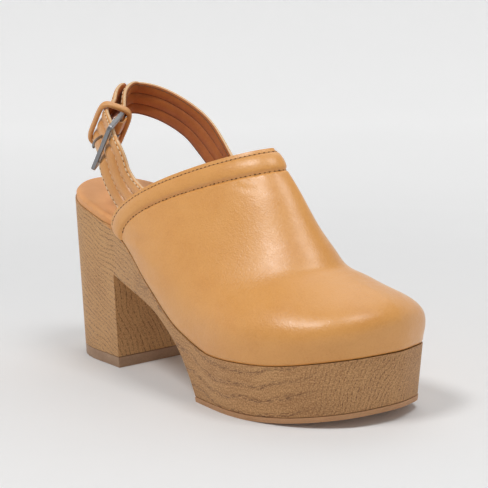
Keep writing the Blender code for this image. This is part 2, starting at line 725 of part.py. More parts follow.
def make_keeper(parts, cutters):
    """Make the leather loop that holds the outer strap's free end against the inner strap."""
    lift = column(FREE_END, 1).max() * strap_depth()
    stack = strap_depth() + lift + 4 * SEAM + KEEPER_LENGTH * np.sin(KEEPER_TILT)
    hollow = (STRAP_WIDTH + 7 * SEAM, 3 * KEEPER_LENGTH, stack)
    outer = (hollow[0] + 2 * KEEPER_WALL, KEEPER_LENGTH, stack + 2 * KEEPER_WALL)
    piece = block(outer, (0.0, 0.0, 0.0), "keeper_loop", parts, stack * 0.30, along=1)
    hole = block(hollow, (0.0, 0.0, 0.0), "keeper_hollow", cutters, stack * 0.20, along=1)
    tilt = Matrix.Rotation(KEEPER_TILT, 4, "X")
    for item in (piece, hole):
        seat_in_buckle(item)
        item.matrix_world @= Matrix.Translation((0.0, keeper_place(), lift / 2)) @ tilt
    combine(piece, hole, "DIFFERENCE")
    return piece


def main():
    """Build the shoe and seat it over the middle of its heel."""
    for item in list(bpy.data.objects):
        bpy.data.objects.remove(item, do_unlink=True)
    parts = collection("platform_clog")
    cutters = collection("cutters")
    finishes = {name: material(name) for name in MATERIALS}
    pieces = (
        (make_platform(parts, cutters), "wood"),
        (make_heel_lift(parts, cutters), "rubber"),
        (make_outsole(parts, cutters), "rubber"),
        (make_insole(parts, cutters), "footbed"),
        (make_upper(parts), "leather"),
        (make_inner_strap(parts, cutters), "leather"),
        (make_outer_strap(parts, cutters), "leather"),
        (make_keeper(parts, cutters), "leather"),
        (make_buckle_frame(parts, cutters), "metal"),
        (make_prong(parts, cutters), "metal"),
    )
    for piece, finish in pieces:
        dress(piece, finishes[finish])
    seat = bpy.data.objects.new("heel_seat", None)
    parts.objects.link(seat)
    heel_back = side_lean(0.0) * HEEL_HEIGHT
    seat.location = (-(heel_back + HEEL_DEPTH) / 2, 0.0, 0.0)
    for item in list(parts.objects) + list(cutters.objects):
        if item is not seat:
            item.parent = seat


main()
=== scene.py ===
"""Looks of a platform clog: leather upper, heel strap and buckle, wood sole and studio."""

import logging
import math
from dataclasses import dataclass
from enum import Enum
from functools import lru_cache

import bpy
import numpy as np
from mathutils import Matrix, Vector


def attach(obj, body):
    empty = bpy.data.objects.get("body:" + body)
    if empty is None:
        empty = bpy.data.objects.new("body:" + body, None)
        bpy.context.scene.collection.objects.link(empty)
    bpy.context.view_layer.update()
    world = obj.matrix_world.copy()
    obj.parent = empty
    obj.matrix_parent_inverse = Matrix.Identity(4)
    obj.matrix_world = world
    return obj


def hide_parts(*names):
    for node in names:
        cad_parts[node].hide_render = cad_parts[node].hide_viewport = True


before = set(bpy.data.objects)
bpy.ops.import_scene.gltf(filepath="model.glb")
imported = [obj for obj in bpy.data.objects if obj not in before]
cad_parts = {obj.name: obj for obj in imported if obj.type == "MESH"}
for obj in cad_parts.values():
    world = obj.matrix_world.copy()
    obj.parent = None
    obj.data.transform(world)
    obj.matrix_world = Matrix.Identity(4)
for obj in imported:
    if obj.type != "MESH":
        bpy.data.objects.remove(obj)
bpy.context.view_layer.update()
LOG = logging.getLogger("clog")
Array = np.ndarray
Obj = bpy.types.Object


def monotone(xs: Array, ys: Array, x: Array) -> Array:
    """Read a smooth curve through table points, without overshoot.

    Args:
        xs: Rising places of the table.
        ys: Values at those places.
        x: Places to read.

    Returns:
        The values at x.
    """
    step = np.diff(xs)
    rise = np.diff(ys) / step
    slope = np.concatenate([rise[:1], np.zeros(len(xs) - 2), rise[-1:]])
    for i in range(1, len(xs) - 1):
        if rise[i - 1] * rise[i] > 0:
            before, after = 2 * step[i] + step[i - 1], step[i] + 2 * step[i - 1]
            slope[i] = (before + after) / (before / rise[i - 1] + after / rise[i])
    x = np.clip(np.asarray(x, float), xs[0], xs[-1])
    k = np.clip(np.searchsorted(xs, x, side="right") - 1, 0, len(step) - 1)
    t = (x - xs[k]) / step[k]
    value = ys[k] * (1 + 2 * t) * (1 - t) ** 2 + ys[k + 1] * t * t * (3 - 2 * t)
    return value + step[k] * (slope[k] * t * (1 - t) ** 2 - slope[k + 1] * t * t * (1 - t))


def smooth_through(points: Array, steps: int, closed: bool = False) -> Array:
    """Return points on a smooth curve that passes through each given point."""
    points = np.asarray(points, float)
    if closed:
        padded = np.vstack([points[-1:], points, points[:2]])
    else:
        padded = np.vstack([2 * points[:1] - points[1:2], points, 2 * points[-1:] - points[-2:-1]])
    curve = []
    for a, b, c, d in zip(padded, padded[1:], padded[2:], padded[3:]):
        for t in np.arange(steps) / steps:
            curve.append(0.5 * (2 * b + (c - a) * t + (2 * a - 5 * b + 4 * c - d) * t * t
                                + (3 * b - a - 3 * c + d) * t ** 3))
    if not closed:
        curve.append(points[-1])
    return np.array(curve)


def unit(vectors: Array) -> Array:
    """Scale each row to length one."""
    vectors = np.asarray(vectors, float)
    return vectors / np.maximum(np.linalg.norm(vectors, axis=-1, keepdims=True), 1e-12)


def lengths(points: Array) -> Array:
    """Return the distance run along a line of points."""
    return np.concatenate([[0.0], np.cumsum(np.linalg.norm(np.diff(points, axis=0), axis=1))])


def along_line(points: Array, at: Array) -> Array:
    """Return points at given distances along a line of points or of wider rows."""
    run = lengths(points[:, :3])
    return np.column_stack([np.interp(at, run, column) for column in points.T])


def evened(points: Array, count: int) -> Array:
    """Return a number of evenly spaced points along a line."""
    return along_line(points, np.linspace(0, 1, count) * lengths(points)[-1])


def bell(x: Array, width: float) -> Array:
    """Return a smooth bump of height one."""
    return np.exp(-(x / width) ** 2)


def fade(x: Array, start: float, reach: float) -> Array:
    """Return a share that grows from nought at start to one a reach further on."""
    return np.clip((x - start) / reach, 0, 1)


def read(rows: tuple, index: int, x: Array) -> Array:
    """Read one column of a table at x, eased between its rows."""
    places, values = (np.array([row[i] for row in rows], float) for i in (0, index))
    return monotone(places, values, x)


def rounded(turn: Array, power: float, wide: float, deep: float) -> tuple[Array, ...]:
    """Return places round a box with eased corners; a lower power makes them squarer."""
    return tuple(np.sign(wave) * np.abs(wave) ** power * size / 2
                 for wave, size in ((np.cos(turn), wide), (np.sin(turn), deep)))


@dataclass(frozen=True)
class Last:
    """The form that the shoe is built on; x runs from the back of the wood, in metres."""

    length: float = 0.243
    ball: float = 0.0884
    heel: float = 0.0951
    forepart: float = 0.0273
    toe_spring: float = 0.0062
    heel_depth: float = 0.0665
    back_lean: float = 0.045
    seam: float = 0.0003
    instep: float = 0.0957
    corner: float = 0.0670
    throat: float = 0.1530
    crest_shift: float = 0.0099
    toe_crest_shift: float = 0.0070
    toe_box: float = 0.0355
    toe_bulge: float = 0.0037
    feather_edge: float = 0.0012
    fan_start: float = 0.80
    fan_power: float = 2.55
    bulge_start: float = 0.45
    look: float = 0.002
    # Outline of the wood's top edge. Columns: along, across.
    outline_rows: tuple = (
        (0.000, 0.025), (0.033, -0.407), (0.123, -0.708), (0.288, -0.771), (0.453, -0.910),
        (0.617, -0.984), (0.761, -1.023), (0.885, -0.814), (0.971, -0.398), (1.000, 0.129),
        (0.989, 0.490), (0.960, 0.772), (0.900, 0.895), (0.741, 0.973), (0.576, 0.860),
        (0.412, 0.701), (0.247, 0.681), (0.123, 0.692), (0.033, 0.455),
    )
    # Side profile of the wood's top. Columns: along, pitch, spring.
    top_rows: tuple = (
        (0.000, 1.000, 0.0), (0.165, 0.864, 0.0), (0.329, 0.668, 0.0), (0.453, 0.379, 0.0),
        (0.576, 0.108, 0.0), (0.700, 0.000, 0.0), (0.823, 0.000, 0.1), (1.000, 0.000, 1.0),
    )
    # Crest of the upper. Columns: along, rise.
    crest_rows: tuple = (
        (0.00, 1.000), (0.20, 0.811), (0.40, 0.602), (0.52, 0.496),
        (0.62, 0.408), (0.75, 0.378), (0.88, 0.380), (1.00, 0.372),
    )
    # Sections of the upper. Columns: path, fullness, sweep, swell.
    section_rows: tuple = (
        (0.00, 1.07, 1.97, 0.30), (0.30, 0.885, 2.10, 0.70),
        (0.60, 0.89, 1.20, 0.92), (1.00, 0.58, 1.00, 1.00),
    )

    @property
    def shift(self) -> Array:
        """Return the move from the last's own frame to the model's."""
        return np.array([-(self.back_lean * self.heel + self.heel_depth) / 2, 0.0, 0.0])

    def outline(self, steps: int = 12) -> Array:
        """Return the outline of the wood's top edge."""
        rows = np.array(self.outline_rows) * [self.length, self.ball / 2]
        return smooth_through(rows, steps, closed=True)

    def top(self, x: Array) -> Array:
        """Return the height of the wood's top at x."""
        share = np.asarray(x, float) / self.length
        pitch, spring = (read(self.top_rows, i, share) for i in (1, 2))
        return self.forepart + (self.heel - self.forepart) * pitch + self.toe_spring * spring

    @lru_cache(maxsize=None)
    def feather(self, side: int) -> Array:
        """Return one side of the top edge, from the upper's rear corner to the toe tip."""
        outline = self.outline(40)
        tip = int(np.argmax(outline[:, 0]))
        line = outline[: tip + 1] if side < 0 else outline[tip:][::-1]
        start = int(np.where(line[:, 0] < self.corner)[0].max()) + 1
        y = np.interp(self.corner, line[start - 1: start + 1, 0], line[start - 1: start + 1, 1])
        return np.vstack([[self.corner, y], line[start:]])

    @property
    def feather_length(self) -> float:
        """Return the mean length of the two feather lines."""
        return sum(lengths(self.feather(side))[-1] for side in (-1, 1)) / 2

    def crest(self, x: Array) -> Array:
        """Return the height of the upper's crest at x."""
        share = (np.asarray(x) - self.throat) / (self.length - self.throat)
        return self.forepart + self.instep * read(self.crest_rows, 1, share)

    def half(self, side: int, path: Array, angle: Array) -> Array:
        """Return a grid of one side of the upper.

        Args:
            side: -1 for the outer side, 1 for the inner side.
            path: A row's place along the feather, from 0 at the collar to 1 at the toe.
            angle: A column's angle down from the crest, in degrees.

        Returns:
            The points, a row for each path and a column for each angle.
        """
        path = np.asarray(path, float)
        angle = np.radians(np.abs(np.asarray(angle, float)))
        line = self.feather(side)
        total = lengths(line)[-1]
        foot, ahead, behind = (
            along_line(line, path * total + step) for step in (0.0, self.look, -self.look))
        heading = unit(ahead - behind)
        out = np.column_stack([-heading[:, 1], heading[:, 0]]) * side
        share = 1 - (1 - fade(path, 0.0, self.fan_start)) ** self.fan_power
        crest_x = (self.throat + (self.length - self.toe_box - self.throat) * share)[:, None]
        crest_y = (self.crest_shift + (self.toe_crest_shift - self.crest_shift) * share)[:, None]
        fullness, sweep, swell = (read(self.section_rows, i, path)[:, None] for i in (1, 2, 3))
        reach = np.sin(angle)[None, :]
        drop = np.clip(np.cos(angle), 0, 1)[None, :] ** fullness
        low = fade(angle / (np.pi / 2), self.bulge_start, 1 - self.bulge_start)
        bulge = self.toe_bulge * swell * np.sin(np.pi * low)
        x = crest_x + (foot[:, :1] - crest_x) * reach ** sweep
        y = crest_y + (foot[:, 1:] - crest_y) * reach
        base = self.top(foot[:, :1]) + self.seam + self.feather_edge
        z = base + (self.crest(np.maximum(x, crest_x)) - base) * drop
        return np.stack([x + out[:, :1] * bulge, y + out[:, 1:] * bulge, z], axis=2)

    def skin(self, path: Array, angle: Array) -> Array:
        """Return a grid of the whole upper; angles below zero are its outer side."""
        angle = np.asarray(angle, float)
        return np.concatenate([
            self.half(-1, path, angle[angle < 0]), self.half(1, path, angle[angle >= 0])], axis=1)

    def facing(self, points: Array) -> Array:
        """Return the outward directions of a grid made by skin."""
        return unit(np.cross(np.gradient(points, axis=0), np.gradient(points, axis=1)))


@dataclass(frozen=True)
class StrapSizes:
    """Sizes of the heel strap, its buckle and its keeper, and the strap's two routes."""

    width: float = 0.0220
    thickness: float = 0.0024
    rib: float = 0.0005
    ribs: int = 3
    rise: float = 0.0510
    hold: float = 0.0170
    wall: float = 0.0018
    rail: float = 0.0033
    plate: float = 0.0022
    frame_length: float = 0.0240
    pivot_bar: float = 0.0024
    fold_leather: float = 0.0013
    prong: float = 0.0016
    keeper_length: float = 0.0050
    keeper_wall: float = 0.0018
    keeper_tilt: float = 0.30
    tip_reach: float = 0.0330
    rise_in_buckle: float = 0.35
    pivot_lift: float = 0.80
    seat_step: float = 0.004
    seat_lean: tuple = (0.8, 0.0, 0.75)
    # Columns: along, across, up, forward, sideways.
    inner_rows: tuple = (
        (0.302, 0.638, 0.54, 0.75, 0.05), (0.229, 0.636, 0.75, 0.55, -0.07),
        (0.153, 0.525, 0.92, 0.49, -0.15), (0.106, 0.300, 1.00, 0.62, -0.19),
        (0.122, 0.060, 0.95, 0.62, -0.18),
    )
    outer_rows: tuple = ((0.311, -0.600, 0.00, 0.95, 0.22), (0.272, -0.622, 0.20, 0.85, 0.15))
    seat_row: tuple = (0.204, -0.509, 0.575, 0.66, 0.11)
    run: tuple = (-0.58, 0.757, 0.30)
    # Columns: reach, lift.
    free_end: tuple = ((0.16, 2.80), (0.50, 1.90), (0.76, 1.40), (1.00, 1.20))
    outer_seat: tuple = (-1, 67.0, (1.0,))
    inner_seat: tuple = (1, 50.0, (1.0, 0.55, 0.12))

    @property
    def depth(self) -> float:
        """Return the full thickness of a strap over its ribs."""
        return self.thickness + 2 * self.rib

    @property
    def pivot(self) -> float:
        """Return how far the pivot bar is from the buckle's middle."""
        return self.frame_length / 2 - self.pivot_bar / 2


@dataclass(frozen=True)
class StrapRoute:
    """The lines that the two straps follow, in the last's frame."""

    last: Last
    sizes: StrapSizes

    def station(self, row: tuple) -> Array:
        """Return the place and the lean of one row of a strap's table."""
        along, across, up, forward, sideways = row
        last = self.last
        height = last.heel + up * self.sizes.rise
        place = np.array([along * last.length, across * last.ball / 2, height])
        return np.concatenate([place, unit([forward, sideways, 1.0])])

    def buckle(self) -> tuple[Array, Array, Array, Array]:
        """Return the buckle's middle and its across, along and outward directions."""
        seat = self.station(self.sizes.seat_row)
        along = unit(self.sizes.run)
        across = unit(seat[3:] - along * np.dot(along, seat[3:]))
        return seat[:3], across, along, np.cross(across, along)

    def in_buckle(self, across: float, along: float, out: float) -> Array:
        """Return a place in the last's frame from one in the buckle's own."""
        middle, sideways, run, outward = self.buckle()
        return middle + sideways * across + run * along + outward * out

    def in_run(self, along: float, out: float) -> Array:
        """Return a strap station in the buckle's own frame."""
        return np.concatenate([self.in_buckle(0.0, along, out), self.buckle()[1]])

    def fold_radius(self) -> tuple[float, float]:
        """Return the bore and outer radius of the end folded round the pivot bar."""
        bore = np.hypot(self.sizes.pivot_bar, self.sizes.plate) / 2 + self.last.seam
        return bore, bore + self.sizes.fold_leather

    def keeper_place(self) -> float:
        """Return how far the keeper is from the buckle's middle."""
        sizes = self.sizes
        return sizes.pivot + self.fold_radius()[1] + self.last.seam + sizes.keeper_length / 2

    def collar_seat(self, seat: tuple) -> list[Array]:
        """Return the stations of a strap's hidden end, against the inside of the collar."""
        side, angle, depths = seat
        sizes = self.sizes
        gap = sizes.wall + sizes.depth / 2 + 3 * self.last.seam
        stations = []
        for depth in depths:
            path = depth * sizes.hold / self.last.feather_length
            paths = [max(path - sizes.seat_step, 0.0), path + sizes.seat_step]
            grid = self.last.half(side, paths, [angle - 1.0, angle + 1.0])
            along = grid[1].mean(axis=0) - grid[0].mean(axis=0)
            down = grid[:, 1].mean(axis=0) - grid[:, 0].mean(axis=0)
            out = unit(np.cross(down, along) * -side)
            across = unit(sizes.seat_lean)
            across = unit(across - out * np.dot(out, across))
            stations.append(np.concatenate([grid.mean(axis=(0, 1)) - out * gap, across]))
        return stations

    def frames(self, stations: Array, steps: int) -> tuple[Array, Array, Array]:
        """Return the middle line, across and thickness directions of a strap."""
        dense = smooth_through(stations, steps)
        middle = dense[:, :3]
        run = unit(np.gradient(middle, axis=0))
        across = unit(dense[:, 3:] - run * np.sum(run * dense[:, 3:], axis=1, keepdims=True))
        return middle, across, np.cross(run, across)

    def inner(self) -> Array:
        """Return the inner strap's stations, from the collar round the heel to the pivot bar."""
        sizes = self.sizes
        rows = self.collar_seat(sizes.inner_seat) + [self.station(row) for row in sizes.inner_rows]
        rows.append(self.in_run(self.keeper_place() + sizes.keeper_length, sizes.depth / 4))
        return np.array(rows + [self.in_run(sizes.pivot + self.fold_radius()[0], 0.0)])

    def outer(self) -> Array:
        """Return the outer strap's stations, from the collar through the buckle to its tip."""
        sizes = self.sizes
        under = -(sizes.plate / 2 + sizes.depth / 2 + 2 * self.last.seam)
        over = self.fold_radius()[1] + sizes.depth / 2 + self.last.seam
        back = -sizes.frame_length / 2
        rows = self.collar_seat(sizes.outer_seat) + [self.station(row) for row in sizes.outer_rows]
        rows.append(self.in_run(back - sizes.depth / 2, 2 * under))
        rows.append(self.in_run(back + sizes.rail, under))
        rows.append(self.in_run((back + sizes.rail + sizes.pivot) / 2, sizes.rise_in_buckle * over))
        rows.append(self.in_run(sizes.pivot, over + sizes.pivot_lift * sizes.depth))
        middle, across, thick = self.frames(self.inner(), 12)
        middle, across, thick = middle[::-1], across[::-1], thick[::-1]
        gone = lengths(middle)
        for share, lift in sizes.free_end:
            k = int(np.searchsorted(gone, share * sizes.tip_reach))
            rows.append(np.concatenate([middle[k] + thick[k] * lift * sizes.depth, across[k]]))
        return np.array(rows)


Colour = tuple[float, float, float, float]


def grey(tone: float) -> Colour:
    """Return a grey."""
    return (tone, tone, tone, 1.0)


def dimmed(colour: Colour, share: float) -> Colour:
    """Return a colour dimmed to a share of itself."""
    return tuple(share * part for part in colour[:3]) + (1.0,)


class Value:
    """An output in a node tree. A sum on it adds the node that works it out."""

    def __init__(self, graph: "Graph", socket: bpy.types.NodeSocket) -> None:
        """Hold the output and its tree."""
        self.graph, self.socket = graph, socket

    def __add__(self, other: "Value | float") -> "Value":
        """Return the sum."""
        return self.graph.math("ADD", self, other)

    def __sub__(self, other: "Value | float") -> "Value":
        """Return the difference."""
        return self.graph.math("SUBTRACT", self, other)

    def __rsub__(self, other: float) -> "Value":
        """Return a number less this value."""
        return self.graph.math("SUBTRACT", other, self)

    def __mul__(self, other: "Value | float") -> "Value":
        """Return the product."""
        return self.graph.math("MULTIPLY", self, other)

    def __pow__(self, power: float) -> "Value":
        """Return a power."""
        return self.graph.math("POWER", self, power)


class Graph:
    """A material's node tree, with short calls to add nodes and to join them."""

    def __init__(self, name: str) -> None:
        """Make the material."""
        self.material = bpy.data.materials.new(name)
        self.material.use_nodes = True
        self.tree = self.material.node_tree

    def feed(self, node: bpy.types.Node, inputs: dict) -> None:
        """Join or set a node's inputs, by name or number."""
        for key, value in inputs.items():
            if isinstance(value, Value):
                self.tree.links.new(value.socket, node.inputs[key])
            else:
                node.inputs[key].default_value = value

    def node(self, kind: str, inputs: dict, output: int | str = 0, **settings: object) -> Value:
        """Add a node.

        Args:
            kind: Blender's name of the node, without its ShaderNode prefix.
            inputs: Values for its inputs, by name or number.
            output: The output that is wanted, by name or number.
            **settings: The node's own settings.

        Returns:
            The output.
        """
        made = self.tree.nodes.new("ShaderNode" + kind)
        for key, value in settings.items():
            setattr(made, key, value)
        self.feed(made, inputs)
        return Value(self, made.outputs[output])

    def math(self, operation: str, a: Value | float, b: Value | float = 0.0) -> Value:
        """Return the result of an operation on one or two numbers."""
        return self.node("Math", {0: a, 1: b}, operation=operation)

    def vector(self, operation: str, a: Value, inputs: dict, output: str = "Vector") -> Value:
        """Return the result of an operation on a vector."""
        return self.node("VectorMath", {0: a, **inputs}, output, operation=operation)

    def ramp(self, value: Value, low: float, high: float, start: float = 0.0,
             end: float = 1.0) -> Value:
        """Return a value eased from start to end as the input goes from low to high."""
        inputs = {"Value": value, "From Min": low, "From Max": high, "To Min": start, "To Max": end}
        return self.node("MapRange", inputs, interpolation_type="SMOOTHSTEP")

    def noise(self, where: Value, scale: float, detail: float = 2.0, rough: float = 0.5,
              output: str = "Fac") -> Value:
        """Return a cloudy value between nought and one."""
        inputs = {"Vector": where, "Scale": scale, "Detail": detail, "Roughness": rough}
        return self.node("TexNoise", inputs, output)

    def mix(self, amount: Value, a: Value | Colour, b: Value | Colour) -> Value:
        """Return a mix of two colours."""
        return self.node("Mix", {0: amount, 6: a, 7: b}, 2, data_type="RGBA")

    def bump(self, height: Value, strength: float, distance: float) -> Value:
        """Return a normal raised by a height."""
        inputs = {"Height": height, "Strength": strength, "Distance": distance}
        return self.node("Bump", inputs, "Normal")

    def place(self) -> Value:
        """Return the object's own coordinates, in metres."""
        return self.node("TexCoord", {}, "Object")

    def parts(self, vector: Value) -> list[Value]:
        """Return a vector's three numbers."""
        node = self.node("SeparateXYZ", {0: vector}).socket.node
        return [Value(self, output) for output in node.outputs]

    def set(self, **values: object) -> bpy.types.Material:
        """Set the shader's inputs, with underscores for spaces, and return the material."""
        named = {key.replace("_", " "): value for key, value in values.items()}
        self.feed(self.tree.nodes["Principled BSDF"], named)
        return self.material


@dataclass(frozen=True)
class Leather:
    """Smooth leather with a fine pebbled grain and a satin sheen."""

    name: str
    colour: Colour
    deep: Colour
    roughness: tuple[float, float] = (0.32, 0.44)
    coat: float = 0.45
    coat_roughness: float = 0.30
    cloud: float = 55.0
    wear: float = 240.0
    wrinkle: float = 620.0
    grain: float = 1400.0
    depth: float = 0.00026

    def make(self) -> bpy.types.Material:
        """Build the material."""
        graph = Graph(self.name)
        where = graph.place()
        cells = graph.node("TexVoronoi", {"Vector": where, "Scale": self.grain}, "Distance",
                           feature="SMOOTH_F1")
        tone = graph.noise(where, self.cloud, 3.0) * 0.55 + graph.ramp(cells, 0.15, 0.75) * 0.14
        height = cells * -0.55 + graph.noise(where, self.wrinkle, 4.0, 0.6) * 0.9
        return graph.set(
            Base_Color=graph.mix(graph.ramp(tone, 0.15, 0.70), self.colour, self.deep),
            Roughness=graph.ramp(graph.noise(where, self.wear, 3.0), 0.3, 0.7, *self.roughness),
            Normal=graph.bump(height, 0.75, self.depth),
            Coat_Weight=self.coat, Coat_Roughness=self.coat_roughness)


@dataclass(frozen=True)
class Mottled:
    """A matte finish in two tones that drift in clouds, over a fine break-up.

    The noises are a scale, a detail and a roughness, and the bump a strength and a depth.
    """

    name: str
    colour: Colour
    deep: Colour
    roughness: tuple[float, float] = (0.57, 0.72)
    cloud: tuple = (60.0, 4.0, 0.6)
    fine: tuple = (1900.0, 3.0, 0.7)
    cloud_share: float = 0.7
    cloudy_wear: bool = False
    bump: tuple[float, float] = (0.5, 0.00012)
    sheen: float = 0.0
    sheen_roughness: float = 0.6
    glow_through: float = 0.0
    glow_depth: float = 0.001

    def make(self) -> bpy.types.Material:
        """Build the material."""
        graph = Graph(self.name)
        where = graph.place()
        cloud, fine = graph.noise(where, *self.cloud), graph.noise(where, *self.fine)
        tone = cloud * self.cloud_share + fine * (1 - self.cloud_share)
        wear = cloud if self.cloudy_wear else fine
        return graph.set(
            Base_Color=graph.mix(graph.ramp(tone, 0.3, 0.7), self.colour, self.deep),
            Roughness=graph.ramp(wear, 0.2, 0.8, *self.roughness),
            Normal=graph.bump(fine, *self.bump),
            Sheen_Weight=self.sheen, Sheen_Roughness=self.sheen_roughness,
            Subsurface_Weight=self.glow_through, Subsurface_Scale=self.glow_depth)


def rubber(name: str, colour: Colour, deep: Colour) -> Mottled:
    """Return moulded rubber, mottled and lightly scuffed."""
    return Mottled(name, colour, deep, (0.49, 0.63), (90.0, 4.0, 0.6), (1300.0, 2.0, 0.5), 0.6,
                   cloudy_wear=True, bump=(0.35, 0.00006), glow_through=0.05)


def plain(name: str, colour: Colour, roughness: float) -> Mottled:
    """Return thread, edge paint or the painted shade in a needle hole: one tone with a fine
    break-up.
    """
    return Mottled(name, colour, dimmed(colour, 0.75), (roughness, roughness),
                   fine=(1800.0, 2.0, 0.5), cloud_share=0.0, bump=(0.4, 0.00005))


@dataclass(frozen=True)
class WoodPrint:
    """Light wood grain with short dark pores, in bowls on the forepart, in bands elsewhere."""

    name: str = "wood_grain"
    light: Colour = (0.63, 0.350, 0.142, 1.0)
    dark: Colour = (0.34, 0.152, 0.050, 1.0)
    pore: Colour = (0.150, 0.056, 0.020, 1.0)
    bowl_along: float = 0.200
    bowl_up: float = 0.052
    bowl_height: float = 0.62
    bowl_turn: float = 0.045
    repeat: float = 0.150
    # How much paler the heel's side is painted: painted light, for the heel catching more light
    # than the shaded platform.
    heel_painted_light: float = 0.12
    warp_scale: float = 26.0
    warp: float = 0.017
    # Ends of the zones on the way round the sole: eased in from, to, eased out from, to.
    toe_zone: tuple = (0.228, 0.262, 0.345, 0.375)
    fore_zone: tuple = (0.095, 0.140, 0.47, 0.52)
    # Distance between lines of pores on the forepart, the toe and the heel.
    periods: tuple[float, float, float] = (0.0068, 0.0024, 0.0030)
    toe_slant: float = 0.42
    heel_slant: float = 0.36
    # Noises drawn out along the grain: scale along it, scale across it, detail.
    dashes: tuple[float, float, float] = (520.0, 1500.0, 2.0)
    streaks: tuple[float, float, float] = (90.0, 1100.0, 3.0)

    def zone(self, graph: Graph, way: Value, ends: tuple) -> Value:
        """Return a share that is one within a zone."""
        return graph.ramp(way, *ends[:2]) * graph.ramp(way, *ends[2:], 1.0, 0.0)

    def stretched(self, graph: Graph, along: Value, across: Value, sizes: tuple) -> Value:
        """Return a noise drawn out along the grain."""
        slow, fast, detail = sizes
        place = graph.node("CombineXYZ", {0: along * slow, 1: across * fast})
        return graph.noise(place, 1.0, detail, 0.6)

    def make(self) -> bpy.types.Material:
        """Build the material on the print map, which holds the way round and the height."""
        graph = Graph(self.name)
        where = graph.node("UVMap", {}, "UV", uv_map="print")
        warp = graph.noise(where, self.warp_scale, output="Color")
        warp = graph.vector("SUBTRACT", warp, {1: (0.5, 0.5, 0.5)})
        warp = graph.vector("SCALE", warp, {"Scale": self.warp})
        u, v, _ = graph.parts(graph.vector("ADD", where, {1: warp}))
        swing = graph.math("SINE", (u - self.bowl_along) * (math.pi / self.repeat))
        side = swing * (self.repeat / math.pi * self.bowl_height)
        up = v - self.bowl_up
        ring = graph.math("SQRT", side * side + up * up)
        turn = graph.math("ARCTAN2", up, side) * self.bowl_turn
        way = graph.parts(where)[0]
        toe = self.zone(graph, way, self.toe_zone)
        fore = self.zone(graph, way, self.fore_zone) * (1.0 - toe)
        heel = 1.0 - fore - toe
        pores, streaks = [], []
        for mask, across, along, period in zip(
                (fore, toe, heel),
                (ring, u - v * self.toe_slant, v + u * self.heel_slant),
                (turn, v + u * self.toe_slant, u - v * self.heel_slant), self.periods):
            line = graph.ramp(graph.math("SINE", across * (2 * math.pi / period)), 0.30, 0.95)
            dash = graph.ramp(self.stretched(graph, along, across, self.dashes), 0.44, 0.60)
            pores.append(mask * line * dash)
            streaks.append(mask * self.stretched(graph, along, across, self.streaks))
        pores, streaks = (parts[0] + parts[1] + parts[2] for parts in (pores, streaks))
        speck = graph.noise(where, 1250.0, 3.0, 0.75)
        tone = streaks * 0.42 + graph.noise(where, 34.0) * 0.30
        # Painted light: the heel zone's tone is lifted towards the paler wood colour.
        tone = tone + (speck - 0.5) * 1.5 - heel * self.heel_painted_light
        body = graph.mix(graph.ramp(tone, 0.10, 0.62), self.light, self.dark)
        pores = pores * graph.ramp(speck, 0.30, 0.55, 0.35, 1.0)
        return graph.set(
            Base_Color=graph.mix(pores * 0.80, body, self.pore),
            Roughness=graph.ramp(streaks, 0.3, 0.7, 0.52, 0.64),
            Normal=graph.bump(streaks * 0.4 - pores, 0.5, 0.00008),
            Coat_Weight=0.05, Coat_Roughness=0.4)


@dataclass(frozen=True)
class Metal:
    """Dull gunmetal plating."""

    name: str = "gunmetal"
    colour: Colour = (0.30, 0.30, 0.31, 1.0)
    roughness: tuple[float, float] = (0.28, 0.42)
    cloud: float = 260.0
    fine: float = 2600.0

    def make(self) -> bpy.types.Material:
        """Build the material."""
        graph = Graph(self.name)
        where = graph.place()
        cloud = graph.noise(where, self.cloud, 3.0)
        return graph.set(
            Base_Color=graph.mix(cloud, self.colour, dimmed(self.colour, 0.8)), Metallic=1.0,
            Roughness=graph.ramp(cloud, 0.2, 0.8, *self.roughness),
            Normal=graph.bump(graph.noise(where, self.fine), 0.2, 0.00003))


class Finish(Enum):
    """The finishes that the clog's pieces take."""

    UPPER = Leather("upper_leather", (0.78, 0.368, 0.096, 1.0), (0.69, 0.292, 0.060, 1.0))
    STRAP = Leather("strap_leather", (0.75, 0.358, 0.112, 1.0), (0.65, 0.280, 0.076, 1.0))
    LINING = Mottled("lining_leather", (0.52, 0.158, 0.030, 1.0), (0.38, 0.100, 0.018, 1.0))
    FOOTBED = Mottled("footbed_leather", (0.86, 0.415, 0.150, 1.0), (0.78, 0.345, 0.115, 1.0),
                      sheen=0.12)
    WOOD = WoodPrint()
    LIFT = rubber("lift_rubber", (0.440, 0.275, 0.170, 1.0), (0.330, 0.200, 0.120, 1.0))
    OUTSOLE = rubber("outsole_rubber", (0.56, 0.300, 0.145, 1.0), (0.46, 0.235, 0.105, 1.0))
    METAL = Metal()
    TAN_THREAD = plain("tan_thread", (0.66, 0.36, 0.14, 1.0), 0.55)
    THREAD = plain("cream_thread", (0.92, 0.72, 0.48, 1.0), 0.55)
    DARK_THREAD = plain("brown_thread", (0.20, 0.080, 0.030, 1.0), 0.6)
    EDGE = plain("edge_paint", (0.88, 0.58, 0.32, 1.0), 0.45)
    # Painted shade: the dark beads that stand for the shadow inside each needle hole.
    HOLE = plain("needle_hole_shade", (0.17, 0.060, 0.020, 1.0), 0.9)


@lru_cache(maxsize=None)
def finish_of(choice: Finish) -> bpy.types.Material:
    """Return a finish's material, made once."""
    return choice.value.make()


def activate(piece: Obj) -> None:
    """Select one piece alone and make it active."""
    bpy.ops.object.select_all(action="DESELECT")
    piece.select_set(True)
    bpy.context.view_layer.objects.active = piece


def in_edit(piece: Obj, *steps: tuple) -> None:
    """Run mesh operators on a whole piece in edit mode.

    Args:
        piece: The piece to work on.
        *steps: Pairs of an operator of bpy.ops.mesh and its settings.
    """
    activate(piece)
    bpy.ops.object.mode_set(mode="EDIT")
    bpy.ops.mesh.select_all(action="SELECT")
    for name, settings in steps:
        getattr(bpy.ops.mesh, name)(**settings)
    bpy.ops.object.mode_set(mode="OBJECT")


